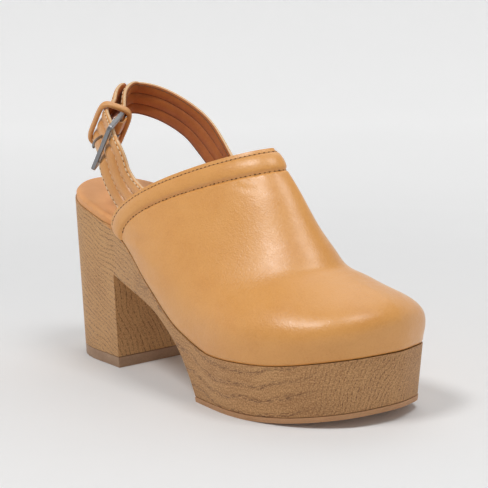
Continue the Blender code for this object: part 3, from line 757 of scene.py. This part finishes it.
def modify(piece: Obj, kind: str, **settings: object) -> None:
    """Add a modifier and apply it."""
    activate(piece)
    step = piece.modifiers.new(kind.lower(), kind)
    for key, value in settings.items():
        setattr(step, key, value)
    bpy.ops.object.modifier_apply(modifier=step.name)


def ease_edges(piece: Obj, width: float, segments: int, degrees: float) -> None:
    """Round the edges that are sharper than an angle."""
    modify(piece, "BEVEL", width=width, segments=segments, limit_method="ANGLE",
           angle_limit=math.radians(degrees))


def draped_grid(name: str, points: Array, last: Last, outward: Array | None = None) -> Obj:
    """Make a sheet from Blender's grid, with its points laid over a form.

    Args:
        name: The piece's name.
        points: Rows and columns of points in the last's frame.
        last: The form, for the move to the model's frame.
        outward: A direction for each point that the faces should look to, or None.

    Returns:
        The sheet, with doubled points merged.
    """
    rows, columns = points.shape[:2]
    bpy.ops.object.select_all(action="DESELECT")
    bpy.ops.mesh.primitive_grid_add(x_subdivisions=columns - 1, y_subdivisions=rows - 1, size=1.0)
    piece = bpy.context.view_layer.objects.active
    piece.name = name
    flat = (points + last.shift).reshape(-1, 3)
    piece.data.vertices.foreach_set("co", flat.astype(np.float32).ravel())
    piece.data.update()
    if outward is not None:
        normals = np.zeros(len(flat) * 3, np.float32)
        piece.data.vertices.foreach_get("normal", normals)
        if np.sum(normals.reshape(-1, 3) * outward.reshape(-1, 3)) < 0:
            in_edit(piece, ("flip_normals", {}))
    in_edit(piece, ("remove_doubles", {"threshold": 0.00001}))
    return piece


def close_ends(piece: Obj) -> None:
    """Fill a tube's two open ends and make its faces look outwards."""
    in_edit(piece, ("select_all", {"action": "DESELECT"}), ("select_non_manifold", {}),
            ("edge_face_add", {}), ("select_all", {"action": "SELECT"}),
            ("normals_make_consistent", {"inside": False}))


def paint(piece: Obj, choices: tuple[Finish, ...]) -> None:
    """Give a piece one material slot for each finish."""
    piece.data.materials.clear()
    for choice in choices:
        piece.data.materials.append(finish_of(choice))


def dress(piece: Obj, choices: tuple[Finish, ...], nodes: tuple[str, ...] = (),
          angle: float = 35.0) -> Obj:
    """Give a piece its finishes, smooth shading and body, and hide the CAD nodes that it stands
    for.

    Args:
        piece: The piece.
        choices: Its finishes, in the order of its material slots.
        nodes: CAD nodes that it stands for.
        angle: Edges sharper than this many degrees stay sharp.

    Returns:
        The piece.
    """
    if len(piece.data.materials) != len(choices):
        paint(piece, choices)
    activate(piece)
    bpy.ops.object.shade_smooth_by_angle(angle=math.radians(angle))
    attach(piece, "root")
    if nodes:
        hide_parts(*nodes)
    LOG.info("%s: %d faces", piece.name, len(piece.data.polygons))
    return piece


@dataclass(frozen=True)
class Seam:
    """A row of stitches: thread in short bars, with a dark bead of painted shade for the needle
    hole between each two.
    """

    pitch: float
    stitch: float
    thread: float
    # Size of a needle hole, drawn as a dark bead of painted shade.
    hole: float
    step: float = 0.0004

    def beads(self, name: str, places: list[tuple[Array, Array]], size: tuple) -> Obj:
        """Model one small bead and copy it to every place as one piece.

        Args:
            name: The piece's name.
            places: Each bead's middle and its three axes.
            size: A bead's size along those axes.

        Returns:
            The piece.
        """
        bpy.ops.object.select_all(action="DESELECT")
        bpy.ops.mesh.primitive_uv_sphere_add(segments=8, ring_count=6, radius=0.5)
        bead = bpy.context.view_layer.objects.active
        shape = np.array([v.co for v in bead.data.vertices]) * size
        faces = np.array([list(p.vertices) + [-1] * (4 - len(p.vertices))
                          for p in bead.data.polygons])
        bpy.data.objects.remove(bead)
        points = np.concatenate([middle + shape @ axes for middle, axes in places])
        every = [[i + k * len(shape) for i in face if i >= 0]
                 for k in range(len(places)) for face in faces.tolist()]
        mesh = bpy.data.meshes.new(name)
        mesh.from_pydata(points.tolist(), [], every)
        made = bpy.data.objects.new(name, mesh)
        bpy.context.scene.collection.objects.link(made)
        return made

    def sew(self, name: str, rows: list[tuple[Array, Array]], thread: Finish, slot: str,
            last: Last) -> None:
        """Sew rows of stitches.

        Args:
            name: The seam's name.
            rows: For each row its line of points and their outward directions.
            thread: The thread's finish.
            slot: The record's material slot; not used.
            last: The form, for the move to the model's frame.
        """
        bars, holes = [], []
        for line, outward in rows:
            both = np.hstack([line, outward])
            for k in range(int(lengths(line)[-1] / self.pitch)):
                for at, places in (((k + 0.5) * self.pitch, bars), (k * self.pitch, holes)):
                    near = along_line(both, np.array([at - self.step, at, at + self.step]))
                    run, out = unit(near[2, :3] - near[0, :3]), unit(near[1, 3:])
                    out = unit(out - run * np.dot(run, out))
                    axes = np.array([run, np.cross(out, run), out])
                    places.append((near[1, :3] + last.shift, axes))
        # Thread bars, then dark beads of painted shade at the needle holes.
        for part, places, size, finish in (
                ("thread", bars, (self.stitch, self.thread, self.thread * 0.8), thread),
                ("holes", holes, (self.hole * 1.6, self.hole, self.hole * 0.5), Finish.HOLE)):
            dress(self.beads(f"{name}_{part}", places, size), (finish,))


@dataclass(frozen=True)
class Upper:
    """The upper: lasted leather shell, padded collar roll, creases, lining and seams."""

    last: Last
    wall: float = 0.0018
    band: float = 0.0125
    puff: float = 0.0014
    edge: float = 0.0013
    edge_row: float = 0.0022
    turn_under: float = 0.0007
    round_over: float = 0.00055
    seam: Seam = Seam(pitch=0.0025, stitch=0.0017, thread=0.00065, hole=0.00080)
    proud: float = 0.00012
    # Rows of stitches. Columns: distance from the collar's edge, depth and width of its channel,
    # height and width of its puckers, and the angle at which it ends.
    rows: tuple = (
        (edge_row, 0.00035, 0.0006, 0.00005, 0.0014, 86.0),
        (band, 0.00075, 0.0009, 0.00009, 0.0022, 84.0),
    )
    # Waves of the puckers. Columns: length, height, phase.
    waves: tuple = ((0.0060, 1.0, 0.0), (0.0113, 0.6, 1.3))
    pucker_start: float = 0.0016
    # Places where easing fades in. Columns: distance from the collar, last angle.
    ease_along: tuple[float, float] = (0.024, 84.0)
    ease_across: tuple[float, float] = (0.030, 70.0)
    ease_reach: float = 0.030
    ease_turn: float = 30.0
    ease_toe: float = 0.020
    ease_passes: int = 80
    # Rings of the toe box to smooth. Columns: radius, times.
    toe_rings: tuple = ((0.016, 3), (0.011, 5), (0.007, 8))
    toe_ring_height: float = 0.010
    # Creases. Columns: start path and angle, end path and angle, depth and width in mm.
    creases: tuple = (
        (0.075, -84, 0.165, -66, 0.30, 2.2), (0.105, -88, 0.250, -78, 0.22, 2.6),
        (0.070, -58, 0.120, -44, 0.14, 1.6), (0.060, -30, 0.110, -19, 0.10, 1.5),
        (0.075, 84, 0.165, 64, 0.30, 2.2), (0.105, 88, 0.260, 78, 0.22, 2.6),
    )
    crease_steps: int = 24
    crease_bow: float = 0.012
    crease_lip: float = 0.45

    def relief(self, points: Array, run: Array) -> Array:
        """Return how far each point stands out: roll, seam channels, puckers and creases.

        Args:
            points: The plain grid.
            run: The distance of each row from the collar's edge.

        Returns:
            A height for each point, in metres.
        """
        roll = self.puff * np.sin(np.pi * fade(run, self.edge, self.band - self.edge)) ** 0.7
        height = np.repeat(roll[:, None], points.shape[1], axis=1)
        steps = np.diff(points, axis=1, prepend=points[:, :1])
        arc = np.cumsum(np.linalg.norm(steps, axis=2), axis=1)
        pucker = sum(high * np.sin(arc * 2 * np.pi / wave + phase)
                     for wave, high, phase in self.waves)
        for at, depth, width, high, spread, _ in self.rows:
            height -= depth * bell(run - at, width)[:, None]
            height += high * pucker * bell(run - at - self.pucker_start, spread)[:, None]
        t = np.linspace(0, 1, self.crease_steps)
        for path0, angle0, path1, angle1, depth, width in self.creases:
            paths = path0 + (path1 - path0) * t + np.sin(np.pi * t) * self.crease_bow
            line = np.array([self.last.skin([path], [angle])[0, 0] for path, angle in
                             zip(paths, angle0 + (angle1 - angle0) * t)])
            gap = np.linalg.norm(points[:, :, None, :] - line[None, None], axis=3)
            ends = np.clip(gap.argmin(axis=2) / (self.crease_steps - 1), 0.02, 0.98)
            gap, width = gap.min(axis=2), width / 1000
            shape = self.crease_lip * bell(gap - 2.1 * width, width) - bell(gap, width)
            height += depth / 1000 * shape * np.sin(np.pi * ends) ** 0.6
        return height

    def eased(self, points: Array, run: Array, angle: Array) -> Array:
        """Return the grid with the hollow above the toes and the crest drawn smooth."""
        along, across = (
            fade(run, start, self.ease_reach)[:, None]
            * fade(end - np.abs(angle), 0.0, self.ease_turn)[None, :]
            for start, end in (self.ease_along, self.ease_across))
        along = along * fade(run[-1] - run, 0.0, self.ease_toe)[:, None]
        for _ in range(self.ease_passes):
            step = np.zeros_like(points)
            step[1:-1] = (points[:-2] + points[2:]) / 4 - points[1:-1] / 2
            points = points + step * along[..., None]
            step = np.zeros_like(points)
            step[:, 1:-1] = (points[:, :-2] + points[:, 2:]) / 4 - points[:, 1:-1] / 2
            points = points + step * across[..., None]
        return points

    def raised(self, points: Array, run: Array) -> tuple[Array, Array]:
        """Return a plain grid with its relief, and its outward directions."""
        out = self.last.facing(points)
        return points + out * self.relief(points, run)[:, :, None], out

    def shell(self) -> None:
        """Model the leather shell with its lining and its rounded collar edge."""
        length = self.last.feather_length
        run = np.concatenate([np.linspace(0, 0.020, 58), np.linspace(0.020, length, 150)[1:]])
        half = 90.0 * np.linspace(0.0, 1.0, 78) ** 0.92
        angle = np.concatenate([-half[:0:-1], half])
        points = self.last.skin(run / length, angle)
        points[-1] = (points[-1] + points[-1, ::-1]) / 2
        points, out = self.raised(self.eased(points, run, angle), run)
        under = points[:, [0, -1]] - [0.0, 0.0, self.last.feather_edge]
        middle = points[:, [len(angle) // 2]]
        under += unit((middle - under) * [1, 1, 0]) * self.turn_under
        points = np.concatenate([under[:, :1], points, under[:, 1:]], axis=1)
        out = np.concatenate([out[:, :1], out, out[:, -1:]], axis=1)
        piece = draped_grid("upper_shell", points, self.last, out)
        self.smooth_toe(piece)
        paint(piece, (Finish.UPPER, Finish.LINING))
        modify(piece, "SOLIDIFY", thickness=self.wall, offset=-1.0, material_offset=1)
        ease_edges(piece, self.round_over, 3, 60)
        dress(piece, (Finish.UPPER, Finish.LINING), ("upper",), 50.0)

    def smooth_toe(self, piece: Obj) -> None:
        """Ease the toe box where the sections meet, in rings that get smaller."""
        last = self.last
        x, y, _ = last.shift + [last.length - last.toe_box, last.toe_crest_shift, 0.0]
        for reach, times in self.toe_rings:
            in_edit(piece, ("select_all", {"action": "DESELECT"}))
            for vertex in piece.data.vertices:
                away = math.hypot(vertex.co.x - x, vertex.co.y - y)
                high = vertex.co.z > last.forepart + self.toe_ring_height
                vertex.select = away < reach and high
            bpy.ops.object.mode_set(mode="EDIT")
            bpy.ops.mesh.vertices_smooth(factor=0.5, repeat=times)
            bpy.ops.object.mode_set(mode="OBJECT")

    def build(self) -> None:
        """Build the shell and sew its two collar rows."""
        self.shell()
        rows = []
        for at, *_, end in self.rows:
            run = np.array([at - self.seam.step, at, at + self.seam.step])
            grid = self.last.skin(run / self.last.feather_length, np.linspace(-end, end, 500))
            line, out = self.raised(grid, run)
            rows.append((line[1] + out[1] * self.proud, out[1]))
        self.seam.sew("collar_seam", rows, Finish.TAN_THREAD, "upper_leather", self.last)


class Part(Enum):
    """Which of the two straps a strap piece is."""

    INNER = "strap_inner"
    OUTER = "strap_outer"


@dataclass(frozen=True)
class Strap:
    """One quilted strap: padded ribs, painted edges, lining and rows of stitches."""

    route: StrapRoute
    part: Part
    seam: Seam = Seam(pitch=0.0032, stitch=0.0024, thread=0.00075, hole=0.00060)
    proud: float = 0.00005
    channel: float = 0.00095
    edge_half: float = 0.72
    edge_ease: float = 0.03
    spacing: float = 0.0008
    tip_round: float = 0.42
    tip_width: float = 0.30
    round_over: float = 0.0003
    paint_from: float = 0.485
    paint_lean: float = 0.75
    # Rows of stitches, as shares of the width from its middle.
    row_places: tuple = (-0.5 + 0.065, -1 / 6, 1 / 6, 0.5 - 0.065)
    # A place within the heel of the foot, above the heel's height.
    heart: tuple[float, float, float] = (0.045, 0.0, 0.03)

    def section(self, count: int) -> tuple[Array, Array]:
        """Return places across the strap and its half thickness there."""
        sizes = self.route.sizes
        place = np.linspace(-0.5, 0.5, count)
        rib = np.abs(np.sin(np.pi * sizes.ribs * (place + 0.5))) ** 0.55
        margin = fade(0.5 - np.abs(place), 0.0, self.edge_ease)
        half = sizes.thickness / 2 - self.channel + (sizes.rib + self.channel) * rib
        edge = self.edge_half + (1 - self.edge_half) * np.sqrt(margin * (2 - margin))
        return place * sizes.width, half * edge

    def frames(self) -> tuple[Array, Array, Array, Array]:
        """Return the strap's frames at even steps, with the share of its full width at each."""
        stations = self.route.inner() if self.part is Part.INNER else self.route.outer()
        frames = np.hstack(self.route.frames(stations, 24))
        total = lengths(frames[:, :3])[-1]
        at = np.linspace(0, total, int(total / self.spacing))
        middle, across, thick = np.hsplit(along_line(frames, at), 3)
        share = np.ones(len(at))
        if self.part is Part.OUTER:
            left = fade(total - at, 0.0, self.route.sizes.width * self.tip_round)
            bow = np.sqrt(np.clip(1 - (1 - left) ** 2, 0.0, 1.0))
            share = self.tip_width + (1 - self.tip_width) * bow
        return middle, unit(across), unit(thick), share

    def build(self) -> None:
        """Sweep the strap and sew its rows on both faces."""
        sizes, last = self.route.sizes, self.route.last
        middle, across, thick, share = self.frames()
        place, half = self.section(64)
        flat = middle[:, None] + place[None, :, None] * share[:, None, None] * across[:, None]
        deep = thick[:, None] * half[None, :, None]
        front, back = flat + deep, flat - deep
        rows = np.concatenate([front, back[:, ::-1], front[:, :1]], axis=1)
        piece = draped_grid(self.part.value + "_leather", rows, last)
        close_ends(piece)
        ease_edges(piece, self.round_over, 2, 70)
        finishes = (Finish.STRAP, Finish.EDGE, Finish.LINING)
        paint(piece, finishes)
        heart = np.array(self.heart) + [0.0, 0.0, last.heel]
        facing = 1.0 if np.sum((middle - heart) * thick) > 0 else -1.0
        line = middle + last.shift
        faces = [(p, np.array(p.normal), np.array(p.center)) for p in piece.data.polygons]
        for polygon, normal, centre in faces:
            k = int(np.argmin(np.sum((line - centre) ** 2, axis=1)))
            lean = np.dot(normal, thick[k]) * facing
            away = abs(np.dot(centre - line[k], across[k]))
            rim = away > sizes.width * share[k] * self.paint_from and abs(lean) < self.paint_lean
            polygon.material_index = 1 if rim else 0 if lean > 0 else 2
        dress(piece, finishes, (self.part.value,), 40.0)
        reach = slice(6, -14 if self.part is Part.OUTER else -4)
        for face, thread, side in ((facing, Finish.THREAD, "outside"),
                                   (-facing, Finish.DARK_THREAD, "inside")):
            lines = []
            for at in np.array(self.row_places) * sizes.width:
                up = np.interp(at, place, half) + self.proud
                line = middle + across * (at * share)[:, None] + thick * (face * up)
                lines.append((line[reach], thick[reach] * face))
            self.seam.sew(f"{self.part.value}_{side}", lines, thread, "strap_leather", last)


@dataclass(frozen=True)
class Hardware:
    """Buckle frame, prong, folded strap end and keeper loop."""

    route: StrapRoute
    # Needle of the prong in the buckle's frame. Columns: along, outward.
    needle: tuple = (
        (0.0060, 0.0031), (0.0020, 0.0042), (-0.0030, 0.0052), (-0.0080, 0.0053),
        (-0.0118, 0.0046), (-0.0136, 0.0036),
    )
    # Ends of the fold, from the pivot and from its own radius. Columns: along, inward.
    fold_ends: tuple = ((0.006, 0.0004), (0.010, 0.0003))
    round_over: float = 0.00055
    keeper_squareness: float = 0.42

    def ring(self, name: str, path: Array, closed: bool, wide: float, deep: float, across: Array,
             corner: float) -> Obj:
        """Sweep a rounded bar along a path.

        Args:
            name: The piece's name.
            path: Points in the last's frame.
            closed: Whether the path is a loop.
            wide: Size of the bar along the across direction.
            deep: Its size square to that.
            across: The across direction.
            corner: How far its corners are rounded, from 0 to 1.

        Returns:
            The swept piece.
        """
        x, y = rounded(np.linspace(0, 2 * np.pi, 25), 0.25 + 0.75 * corner, wide, deep)
        if closed:
            path = np.vstack([path, path[:1]])
            run = unit(np.vstack([path[1] - path[-2], path[2:] - path[:-2], path[1] - path[-2]]))
        else:
            run = unit(np.gradient(path, axis=0))
        side = unit(np.cross(run, across))
        rows = path[:, None] + across * x[None, :, None] + side[:, None] * y[None, :, None]
        piece = draped_grid(name, rows, self.route.last)
        if closed:
            in_edit(piece, ("normals_make_consistent", {"inside": False}))
        else:
            close_ends(piece)
        return piece

    def line(self, across: float, places: list[tuple[float, float]]) -> Array:
        """Return points in the last's frame from places along and out of the buckle."""
        return np.array([self.route.in_buckle(across, *place) for place in places])

    def round_pivot(self, start: float, end: float, count: int) -> list[tuple[float, float]]:
        """Return places on an arc round the pivot bar, in the middle of the fold's leather."""
        radius = sum(self.route.fold_radius()) / 2
        return [(self.route.sizes.pivot + radius * math.cos(turn), radius * math.sin(turn))
                for turn in np.linspace(start, end, count)]

    def keeper(self) -> None:
        """Model the leather keeper that holds the free end."""
        sizes, seam = self.route.sizes, self.route.last.seam
        slope, level = math.sin(sizes.keeper_tilt), math.cos(sizes.keeper_tilt)
        lift = max(row[1] for row in sizes.free_end) * sizes.depth
        stack = sizes.depth + lift + 4 * seam + sizes.keeper_length * slope
        x, z = rounded(
            np.linspace(0, 2 * np.pi, 120, endpoint=False), self.keeper_squareness,
            sizes.width + 7 * seam + sizes.keeper_wall, stack + sizes.keeper_wall)
        place = self.route.keeper_place()
        path = np.array([self.route.in_buckle(a, place - slope * b, lift / 2 + level * b)
                         for a, b in zip(x, z)])
        path = evened(np.vstack([path, path[:1]]), len(path) + 1)[:-1]
        _, _, along, outward = self.route.buckle()
        piece = self.ring("keeper_leather", path, True, sizes.keeper_length,
                          sizes.keeper_wall * 1.6, unit(along * level + outward * slope), 0.80)
        dress(piece, (Finish.STRAP,), ("keeper_loop",))

    def fold(self) -> None:
        """Model the strap's thinned end, folded round the bar in two tabs beside the prong."""
        sizes = self.route.sizes
        radius = sum(self.route.fold_radius()) / 2
        (top, top_in), (foot, foot_in) = self.fold_ends
        places = [(sizes.pivot + top, radius - top_in),
                  *self.round_pivot(np.pi / 2, 3 * np.pi / 2, 28),
                  (sizes.pivot + foot, foot_in - radius)]
        gap = sizes.prong + 4 * self.route.last.seam
        tab = (sizes.width - 2 * sizes.fold_leather - gap) / 2
        for side, label in ((-1, "lower"), (1, "upper")):
            path = evened(self.line(side * (gap + tab) / 2, places), 60)
            piece = self.ring(f"strap_fold_{label}", path, False, tab, sizes.fold_leather,
                              self.route.buckle()[1], 0.12)
            dress(piece, (Finish.STRAP,))

    def prong(self) -> None:
        """Model the prong: an eye round the pivot bar and a needle bowed over the strap."""
        width = self.route.sizes.prong
        path = self.line(0.0, self.round_pivot(-2.3, 1.9, 26) + list(self.needle))
        piece = self.ring("prong_metal", smooth_through(path, 3), False, width, width * 0.85,
                          self.route.buckle()[1], 0.75)
        dress(piece, (Finish.METAL,), ("buckle_prong",))

    def frame(self) -> None:
        """Round the edges of a copy of the buckle's frame."""
        piece = copy_node("buckle_frame", "frame_metal")
        ease_edges(piece, self.round_over, 4, 40)
        dress(piece, (Finish.METAL,), ("buckle_frame",), 40.0)

    def build(self) -> None:
        """Build every fitting."""
        self.frame()
        self.prong()
        self.fold()
        self.keeper()


def copy_node(node: str, name: str) -> Obj:
    """Return a copy of a CAD node with its loose triangles merged and its flat faces joined."""
    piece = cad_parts[node].copy()
    piece.data = piece.data.copy()
    piece.name = name
    piece.parent = None
    piece.data.materials.clear()
    for key in list(piece.keys()):
        del piece[key]
    bpy.context.scene.collection.objects.link(piece)
    in_edit(piece, ("remove_doubles", {"threshold": 0.00001}),
            ("dissolve_limited", {"angle_limit": math.radians(0.4)}))
    return piece


@dataclass(frozen=True)
class Sole:
    """Wood base, heel lift, outsole and footbed."""

    last: Last
    insole: float = 0.0050
    inset: float = 0.0008
    inside: float = 0.0027
    round_over: float = 0.0030
    wood_edge: float = 0.0005
    rubber_edge: float = 0.0004
    # Moves of the print on level faces and on the heel's breast, so that they don't repeat.
    level_shift: float = 0.04
    breast_shift: float = 0.02
    breast_scale: float = 0.9

    def print_map(self, piece: Obj) -> None:
        """Lay the wood print round the sole: the way round the outline and the height."""
        line = self.last.outline(40) + self.last.shift[:2]
        run = lengths(np.vstack([line, line[:1]]))
        layer = piece.data.uv_layers.new(name="print")
        points = np.array([v.co for v in piece.data.vertices])
        way = run[np.linalg.norm(points[:, None, :2] - line[None], axis=2).argmin(axis=1)]
        for polygon in piece.data.polygons:
            level = abs(polygon.normal.z) > 0.75
            breast = polygon.normal.x > 0.9 and polygon.center.x < self.last.heel_depth * 0.7
            first = way[piece.data.loops[polygon.loop_start].vertex_index]
            for loop in polygon.loop_indices:
                index = piece.data.loops[loop].vertex_index
                x, y, z = points[index]
                around = way[index]
                if abs(around - first) > run[-1] / 2:
                    around += run[-1] if around < first else -run[-1]
                if breast:
                    place = (z * self.breast_scale + self.breast_shift, y)
                else:
                    place = (x + self.level_shift, y) if level else (around, z)
                layer.data[loop].uv = place

    def copied(self, node: str, name: str, edge: float, choice: Finish) -> None:
        """Model a solid part of the sole from its CAD node, with eased edges.

        Args:
            node: The CAD node.
            name: The piece's name.
            edge: How far its edges are eased.
            choice: Its finish.
        """
        piece = copy_node(node, name)
        ease_edges(piece, edge, 3, 38)
        if choice is Finish.WOOD:
            self.print_map(piece)
        dress(piece, (choice,), (node,), 30.0)

    def footbed(self) -> None:
        """Model the padded footbed with a rounded, slightly crowned top."""
        last = self.last
        outline = last.outline(30)
        clear = fade(outline[:, 0], last.corner - self.inside * 4, self.inside * 3)
        inset = self.inset + clear * (self.inside - self.inset)
        tangent = np.roll(outline, -1, axis=0) - np.roll(outline, 1, axis=0)
        into = unit(np.column_stack([-tangent[:, 1], tangent[:, 0]]))
        rim = outline + into * inset[:, None]
        rolled = np.roll(rim, -int(np.argmin(rim[:, 0])), axis=0)
        tip = int(np.argmax(rolled[:, 0]))
        outer, inner = rolled[: tip + 1], np.vstack([rolled[tip:], rolled[:1]])[::-1]
        down, over = ((1 - np.cos(np.linspace(0, np.pi, count))) / 2 for count in (170, 60))
        x = rim[:, 0].min() + np.ptp(rim[:, 0]) * down
        low, high = (np.interp(x, edge[:, 0], edge[:, 1])[:, None] for edge in (outer, inner))
        y = low + (high - low) * over
        x = np.repeat(x[:, None], len(over), axis=1)
        flat = np.stack([x, y], axis=2).reshape(-1, 2)
        depth = np.array([np.linalg.norm(rim - p, axis=1).min() for p in flat]).reshape(y.shape)
        crown = np.sqrt(1 - (1 - fade(depth, 0.0, self.round_over)) ** 2)
        height = self.insole - self.round_over + self.round_over * crown
        base = last.top(x) + last.seam
        top = np.stack([x, y, base + height - last.seam], axis=2)
        bottom = np.stack([x, y, base], axis=2)
        rows = np.concatenate([top, bottom[:, ::-1], top[:, :1]], axis=1)
        piece = draped_grid("footbed", rows, last)
        in_edit(piece, ("dissolve_degenerate", {"threshold": 0.00001}),
                ("normals_make_consistent", {"inside": False}))
        dress(piece, (Finish.FOOTBED,), ("insole",), 50.0)

    def build(self) -> None:
        """Build the whole bottom of the shoe."""
        self.copied("platform", "wood_base", self.wood_edge, Finish.WOOD)
        self.copied("heel_lift", "lift", self.rubber_edge, Finish.LIFT)
        self.copied("outsole", "outsole_strip", self.rubber_edge, Finish.OUTSOLE)
        self.footbed()


@dataclass(frozen=True)
class Studio:
    """Pale floor, soft lights and the camera."""

    azimuth: float = 51.911
    elevation: float = 9.057
    roll: float = -1.629
    focal: float = 1244.12
    width: float = 488.0
    place: tuple = (0.60242, -0.38980, 0.17440)
    floor_tone: float = 0.82
    floor_flat: float = 2.0
    floor_bend: float = 0.8
    wall_height: float = 2.4
    glow: float = 0.16
    key_share: float = 0.45
    key_height: float = 1.25
    wall_share: float = 0.16
    # The direction away from the camera, and the glow that the floor keeps in front of the shoe.
    ahead: tuple[float, float, float] = (-0.787, 0.617, 0.0)
    near_share: float = 0.15
    # Columns: name, place, target, size, watts.
    lights: tuple = (
        ("front", (0.10, -0.64, 1.25), (0.12, -0.02, 0.05), 0.36, 7.0),
        ("toe", (0.57, 0.07, 1.25), (0.12, -0.02, 0.05), 0.40, 4.4),
        ("back", (-0.32, 0.60, 1.25), (0.08, 0.0, 0.05), 0.90, 2.9),
    )

    def floor(self) -> None:
        """Lay a wide pale floor that turns up into a wall all round."""
        turn = np.linspace(0, 2 * np.pi, 97)
        bend = np.linspace(0, np.pi / 2, 14)[1:]
        flat = np.linspace(0.0, self.floor_flat, 12)
        radius = np.concatenate([flat, self.floor_flat + self.floor_bend * np.sin(bend),
                                 [self.floor_flat + self.floor_bend]])[:, None]
        height = np.concatenate([flat * 0, self.floor_bend * (1 - np.cos(bend)),
                                 [self.wall_height]])[:, None]
        x, y = radius * np.cos(turn), radius * np.sin(turn)
        rows = np.stack([x, y, height + x * 0], axis=2)
        up = np.stack([x * -0.5, y * -0.5, x * 0 + 1], axis=2)
        piece = draped_grid("floor", rows, Last(heel_depth=0.0, back_lean=0.0), up)
        piece.data.materials.append(self.floor_material())
        activate(piece)
        bpy.ops.object.shade_smooth()

    def floor_material(self) -> bpy.types.Material:
        """Build the floor's material, which makes up for the lamps' light lost with distance."""
        graph = Graph("pale_floor")
        place = graph.place()
        x, y, z = graph.parts(place)
        far = x ** 2.0 + y ** 2.0
        fall = (far * (1 / self.key_height ** 2) + 1.0) ** -2.0
        lost = (1.0 - fall) * self.key_share - graph.ramp(z, 0.0, 0.9, 0.0, self.wall_share)
        ahead = graph.vector("DOT_PRODUCT", place, {1: self.ahead}, "Value")
        lost = lost * graph.ramp(ahead, -0.9, -0.35, self.near_share, 1.0)
        tones = grey(self.floor_tone), grey(self.floor_tone * 0.99)
        return graph.set(Base_Color=graph.mix(graph.noise(place, 40.0), *tones), Roughness=0.9,
                         Emission_Color=grey(1.0), Emission_Strength=lost)

    def lamps(self) -> None:
        """Set the soft lights and the surrounding glow."""
        for name, place, target, size, watts in self.lights:
            lamp = bpy.data.lights.new(name, "AREA")
            lamp.size = size
            lamp.energy = watts
            holder = bpy.data.objects.new(name, lamp)
            holder.location = place
            gaze = Vector(target) - Vector(place)
            holder.rotation_euler = gaze.to_track_quat("-Z", "Y").to_euler()
            holder.visible_camera = False
            bpy.context.scene.collection.objects.link(holder)
        world = bpy.data.worlds.new("studio")
        world.use_nodes = True
        sky = world.node_tree.nodes["Background"].inputs
        sky["Color"].default_value = grey(1.0)
        sky["Strength"].default_value = self.glow
        bpy.context.scene.world = world
        bpy.context.scene.view_settings.view_transform = "Standard"

    def camera(self) -> None:
        """Set the camera at the photograph's viewing angle."""
        a, e, r = (math.radians(v) for v in (self.azimuth, self.elevation, self.roll))
        back = Vector((math.sin(a) * math.cos(e), -math.cos(a) * math.cos(e), math.sin(e)))
        right = Vector((math.cos(a), math.sin(a), 0.0))
        up = back.cross(right)
        turned = right * math.cos(r) + up * math.sin(r)
        upright = -right * math.sin(r) + up * math.cos(r)
        data = bpy.data.cameras.new("camera")
        data.sensor_width = 36.0
        data.lens = self.focal * data.sensor_width / self.width
        data.clip_start = 0.01
        holder = bpy.data.objects.new("camera", data)
        turn = Matrix((turned, upright, back)).transposed().to_4x4()
        holder.matrix_world = Matrix.Translation(Vector(self.place)) @ turn
        bpy.context.scene.collection.objects.link(holder)
        bpy.context.scene.camera = holder

    def build(self) -> None:
        """Build the studio."""
        self.floor()
        self.lamps()
        self.camera()


def main() -> None:
    """Build the shoe and its studio."""
    logging.basicConfig(level=logging.INFO, format="%(name)s %(message)s")
    last = Last()
    route = StrapRoute(last, StrapSizes())
    for part in (Studio(), Sole(last), Upper(last), Strap(route, Part.INNER),
                 Strap(route, Part.OUTER), Hardware(route)):
        part.build()
        LOG.info("built %s", type(part).__name__)


if __name__ == "__main__":
    main()
